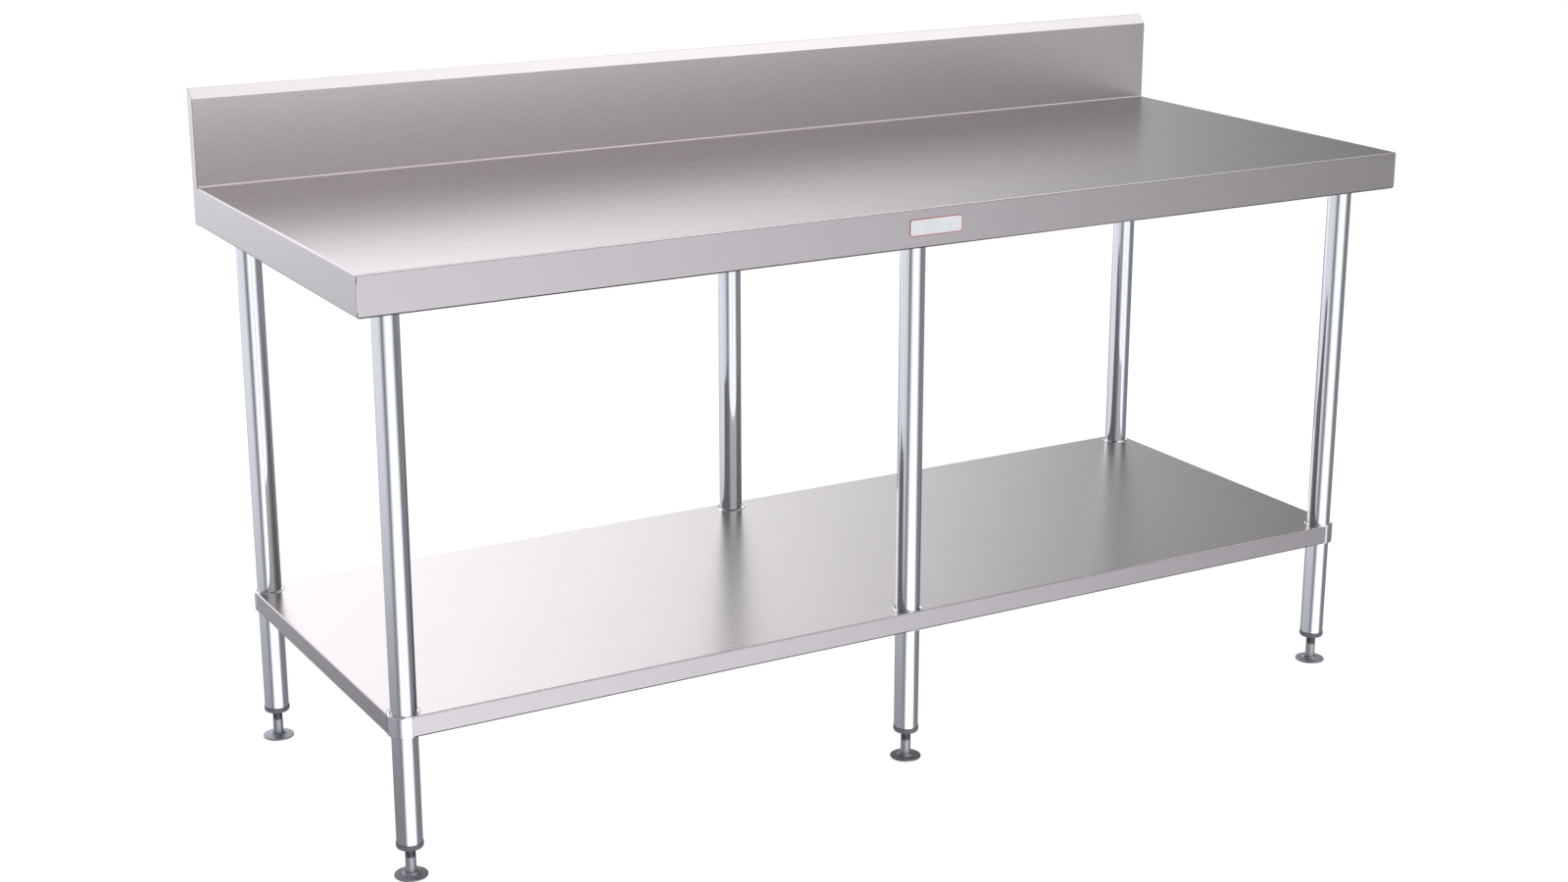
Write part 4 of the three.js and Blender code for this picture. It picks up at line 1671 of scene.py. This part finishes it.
def soft_box_tree() -> bpy.types.NodeTree:
    """Adds one soft box, seen in a direction, to the light that goes in."""
    tree = bpy.data.node_groups.new("soft_box", "ShaderNodeTree")
    add_input(tree, "Light", "NodeSocketFloat")
    add_input(tree, "Direction", "NodeSocketVector")
    add_input(tree, "Towards", "NodeSocketVector")
    add_input(tree, "Inner Cosine", "NodeSocketFloat")
    add_input(tree, "Outer Cosine", "NodeSocketFloat")
    add_input(tree, "Low", "NodeSocketFloat")
    add_input(tree, "High", "NodeSocketFloat")
    add_input(tree, "Brightness", "NodeSocketFloat")
    tree.interface.new_socket(name="Light", in_out="OUTPUT", socket_type="NodeSocketFloat")
    nodes, links = tree.nodes, tree.links

    entry = nodes.new("NodeGroupInput")
    entry.label = "What goes in"
    entry.location = (-1200, 0)
    flat = nodes.new("ShaderNodeVectorMath")
    flat.label = "Level part of the direction"
    flat.location = (-1000, 200)
    unit = nodes.new("ShaderNodeVectorMath")
    unit.label = "Unit length"
    unit.location = (-800, 200)
    facing = nodes.new("ShaderNodeVectorMath")
    facing.label = "Cosine of the angle to the light"
    facing.location = (-600, 200)
    across = nodes.new("ShaderNodeMapRange")
    across.label = "Fade to the sides"
    across.location = (-400, 200)
    parts = nodes.new("ShaderNodeSeparateXYZ")
    parts.label = "Height of the direction"
    parts.location = (-1000, -150)
    over = nodes.new("ShaderNodeMath")
    over.label = "Over the lower edge"
    over.location = (-800, -100)
    under = nodes.new("ShaderNodeMath")
    under.label = "Under the upper edge"
    under.location = (-800, -300)
    rising = nodes.new("ShaderNodeMapRange")
    rising.label = "Fade at the lower edge"
    rising.location = (-600, -100)
    falling = nodes.new("ShaderNodeMapRange")
    falling.label = "Fade at the upper edge"
    falling.location = (-600, -350)
    height = nodes.new("ShaderNodeMath")
    height.label = "Between the edges"
    height.location = (-400, -150)
    shape = nodes.new("ShaderNodeMath")
    shape.label = "Shape of the light"
    shape.location = (-200, 50)
    total = nodes.new("ShaderNodeMath")
    total.label = "Added to the rest"
    total.location = (0, 0)
    leave = nodes.new("NodeGroupOutput")
    leave.label = "What comes out"
    leave.location = (200, 0)

    flat.operation = "MULTIPLY"
    flat.inputs[1].default_value = (1, 1, 0)
    unit.operation = "NORMALIZE"
    facing.operation = "DOT_PRODUCT"
    across.interpolation_type = "SMOOTHSTEP"
    over.operation = "SUBTRACT"
    under.operation = "SUBTRACT"
    rising.interpolation_type = "SMOOTHSTEP"
    rising.inputs["From Min"].default_value = -0.1
    rising.inputs["From Max"].default_value = 0.1
    falling.interpolation_type = "SMOOTHSTEP"
    falling.inputs["From Min"].default_value = -0.1
    falling.inputs["From Max"].default_value = 0.1
    height.operation = "MULTIPLY"
    shape.operation = "MULTIPLY"
    total.operation = "MULTIPLY_ADD"

    links.new(entry.outputs["Direction"], flat.inputs[0])
    links.new(flat.outputs["Vector"], unit.inputs[0])
    links.new(unit.outputs["Vector"], facing.inputs[0])
    links.new(entry.outputs["Towards"], facing.inputs[1])
    links.new(facing.outputs["Value"], across.inputs["Value"])
    links.new(entry.outputs["Outer Cosine"], across.inputs["From Min"])
    links.new(entry.outputs["Inner Cosine"], across.inputs["From Max"])
    links.new(entry.outputs["Direction"], parts.inputs["Vector"])
    links.new(parts.outputs["Z"], over.inputs[0])
    links.new(entry.outputs["Low"], over.inputs[1])
    links.new(entry.outputs["High"], under.inputs[0])
    links.new(parts.outputs["Z"], under.inputs[1])
    links.new(over.outputs["Value"], rising.inputs["Value"])
    links.new(under.outputs["Value"], falling.inputs["Value"])
    links.new(rising.outputs["Result"], height.inputs[0])
    links.new(falling.outputs["Result"], height.inputs[1])
    links.new(across.outputs["Result"], shape.inputs[0])
    links.new(height.outputs["Value"], shape.inputs[1])
    links.new(shape.outputs["Value"], total.inputs[0])
    links.new(entry.outputs["Brightness"], total.inputs[1])
    links.new(entry.outputs["Light"], total.inputs[2])
    links.new(total.outputs["Value"], leave.inputs["Light"])
    return tree


@dataclass
class Studio:
    """The floor, the soft light round the table, and the camera."""

    azimuth: float = 29.83
    elevation: float = 16.77
    camera_place: tuple[float, float, float] = (-1.997, -3.382, 1.632)
    lens: float = 57.5
    room_light: float = 0.25
    sensor: float = 36
    floor_reach: float = 30

    def build_floor(self) -> None:
        """A plain white floor that shows no shadow, and that the steel doesn't mirror."""
        form = bmesh.new()
        bmesh.ops.create_grid(form, x_segments=1, y_segments=1, size=self.floor_reach)
        floor = new_piece("floor", form)
        material = new_material("pale_floor")
        nodes, links = material.node_tree.nodes, material.node_tree.links
        paint = nodes.new("ShaderNodeBsdfDiffuse")
        paint.label = "White paint"
        paint.location = (-200, 100)
        glow = nodes.new("ShaderNodeEmission")
        glow.label = "Lit from below"
        glow.location = (-200, -100)
        both = nodes.new("ShaderNodeAddShader")
        both.label = "Paint and glow"
        both.location = (0, 0)
        surface = nodes.new("ShaderNodeOutputMaterial")
        surface.label = "Surface out"
        surface.location = (200, 0)
        paint.inputs["Color"].default_value = (0.05, 0.05, 0.05, 1)
        glow.inputs["Color"].default_value = (1, 1, 1, 1)
        glow.inputs["Strength"].default_value = 1.0
        links.new(paint.outputs["BSDF"], both.inputs[0])
        links.new(glow.outputs["Emission"], both.inputs[1])
        links.new(both.outputs["Shader"], surface.inputs["Surface"])
        floor.data.materials.append(material)
        floor.visible_glossy = False

    def build_surroundings(self) -> None:
        """A grey room with soft boxes round the table, and plain white behind it."""
        world = bpy.data.worlds.new("studio")
        bpy.context.scene.world = world
        world.use_nodes = True
        nodes, links = world.node_tree.nodes, world.node_tree.links
        nodes.clear()

        where = nodes.new("ShaderNodeTexCoord")
        where.label = "Direction"
        where.location = (-1200, 0)
        parts = nodes.new("ShaderNodeSeparateXYZ")
        parts.label = "Height of the direction"
        parts.location = (-1000, -300)
        ceiling = nodes.new("ShaderNodeMapRange")
        ceiling.label = "Ceiling"
        ceiling.location = (-800, -200)
        ground = nodes.new("ShaderNodeMapRange")
        ground.label = "Room, over a dark ground"
        ground.location = (-800, -500)
        light = nodes.new("ShaderNodeMath")
        light.label = "Ceiling and room"
        light.location = (-600, -300)
        climb = nodes.new("ShaderNodeMapRange")
        climb.label = "From the floor to the ceiling"
        climb.location = (-800, 300)
        tint = nodes.new("ShaderNodeMix")
        tint.label = "Cooler light below"
        tint.location = (-600, 300)
        lit = nodes.new("ShaderNodeBackground")
        lit.label = "What the table sees"
        lit.location = (1400, 0)
        plain = nodes.new("ShaderNodeBackground")
        plain.label = "Plain white behind the table"
        plain.location = (1400, -150)
        ray = nodes.new("ShaderNodeLightPath")
        ray.label = "Kind of ray"
        ray.location = (1400, 350)
        choice = nodes.new("ShaderNodeMixShader")
        choice.label = "Table or background"
        choice.location = (1650, 0)
        output = nodes.new("ShaderNodeOutputWorld")
        output.label = "World out"
        output.location = (1850, 0)

        ceiling.interpolation_type = "SMOOTHSTEP"
        ceiling.inputs["From Min"].default_value = 0.5
        ceiling.inputs["From Max"].default_value = 0.9
        ceiling.inputs["To Max"].default_value = 0.25
        ground.interpolation_type = "SMOOTHSTEP"
        ground.inputs["From Min"].default_value = -0.9
        ground.inputs["From Max"].default_value = -0.6
        ground.inputs["To Max"].default_value = self.room_light
        light.operation = "ADD"
        climb.inputs["From Min"].default_value = -0.3
        climb.inputs["From Max"].default_value = 0.3
        tint.data_type = "RGBA"
        tint.inputs[6].default_value = (0.96, 0.99, 1.08, 1)
        tint.inputs[7].default_value = (0.97, 1.0, 1.05, 1)
        plain.inputs["Color"].default_value = (1, 1, 1, 1)

        links.new(where.outputs["Generated"], parts.inputs["Vector"])
        links.new(parts.outputs["Z"], ceiling.inputs["Value"])
        links.new(parts.outputs["Z"], ground.inputs["Value"])
        links.new(parts.outputs["Z"], climb.inputs["Value"])
        links.new(climb.outputs["Result"], tint.inputs["Factor"])
        links.new(tint.outputs[2], lit.inputs["Color"])
        links.new(ceiling.outputs["Result"], light.inputs[0])
        links.new(ground.outputs["Result"], light.inputs[1])
        links.new(ray.outputs["Is Camera Ray"], choice.inputs["Fac"])
        links.new(lit.outputs["Background"], choice.inputs[1])
        links.new(plain.outputs["Background"], choice.inputs[2])
        links.new(choice.outputs["Shader"], output.inputs["Surface"])

        shape = soft_box_tree()
        so_far = light.outputs["Value"]
        for number, soft_box in enumerate(SOFT_BOXES):
            lamp = nodes.new("ShaderNodeGroup")
            lamp.node_tree = shape
            lamp.label = soft_box.name
            lamp.location = (-350 + 200 * number, 0)
            reach = min(soft_box.half_width + soft_box.fade, 180)
            lamp.inputs["Towards"].default_value = soft_box.towards
            lamp.inputs["Inner Cosine"].default_value = math.cos(math.radians(soft_box.half_width))
            lamp.inputs["Outer Cosine"].default_value = math.cos(math.radians(reach))
            lamp.inputs["Low"].default_value = math.sin(math.radians(soft_box.low))
            lamp.inputs["High"].default_value = math.sin(math.radians(soft_box.high))
            lamp.inputs["Brightness"].default_value = soft_box.brightness
            links.new(where.outputs["Generated"], lamp.inputs["Direction"])
            links.new(so_far, lamp.inputs["Light"])
            so_far = lamp.outputs["Light"]
        links.new(so_far, lit.inputs["Strength"])

    def build_camera(self) -> None:
        """The camera, level and turned to the table's front left."""
        data = bpy.data.cameras.new("camera")
        data.lens = self.lens
        data.sensor_width = self.sensor
        camera = bpy.data.objects.new("camera", data)
        camera.location = self.camera_place
        tilt = math.radians(90 - self.elevation)
        camera.rotation_euler = (tilt, 0, math.radians(-self.azimuth))
        bpy.context.scene.collection.objects.link(camera)
        bpy.context.scene.camera = camera

    def build(self) -> None:
        """Sets up the studio."""
        self.build_floor()
        self.build_surroundings()
        self.build_camera()
        bpy.context.scene.view_settings.view_transform = "Standard"
        log.info("studio: ready")


# ---- Assembly ------------------------------------------------------------------------------------


def main() -> None:
    """Builds the table from the top down, then the studio round it."""
    logging.basicConfig(level=logging.INFO, format="%(name)s %(message)s")
    finishes = Finishes()
    stations = find_stations()
    Worktop(finishes, folding_tree()).build()
    Undershelf(finishes, stations).build()
    LegSet(finishes, stations, thread_tree(), weld_ring_tree()).build()
    Understructure(finishes).build()
    Studio().build()


if __name__ == "__main__":
    main()
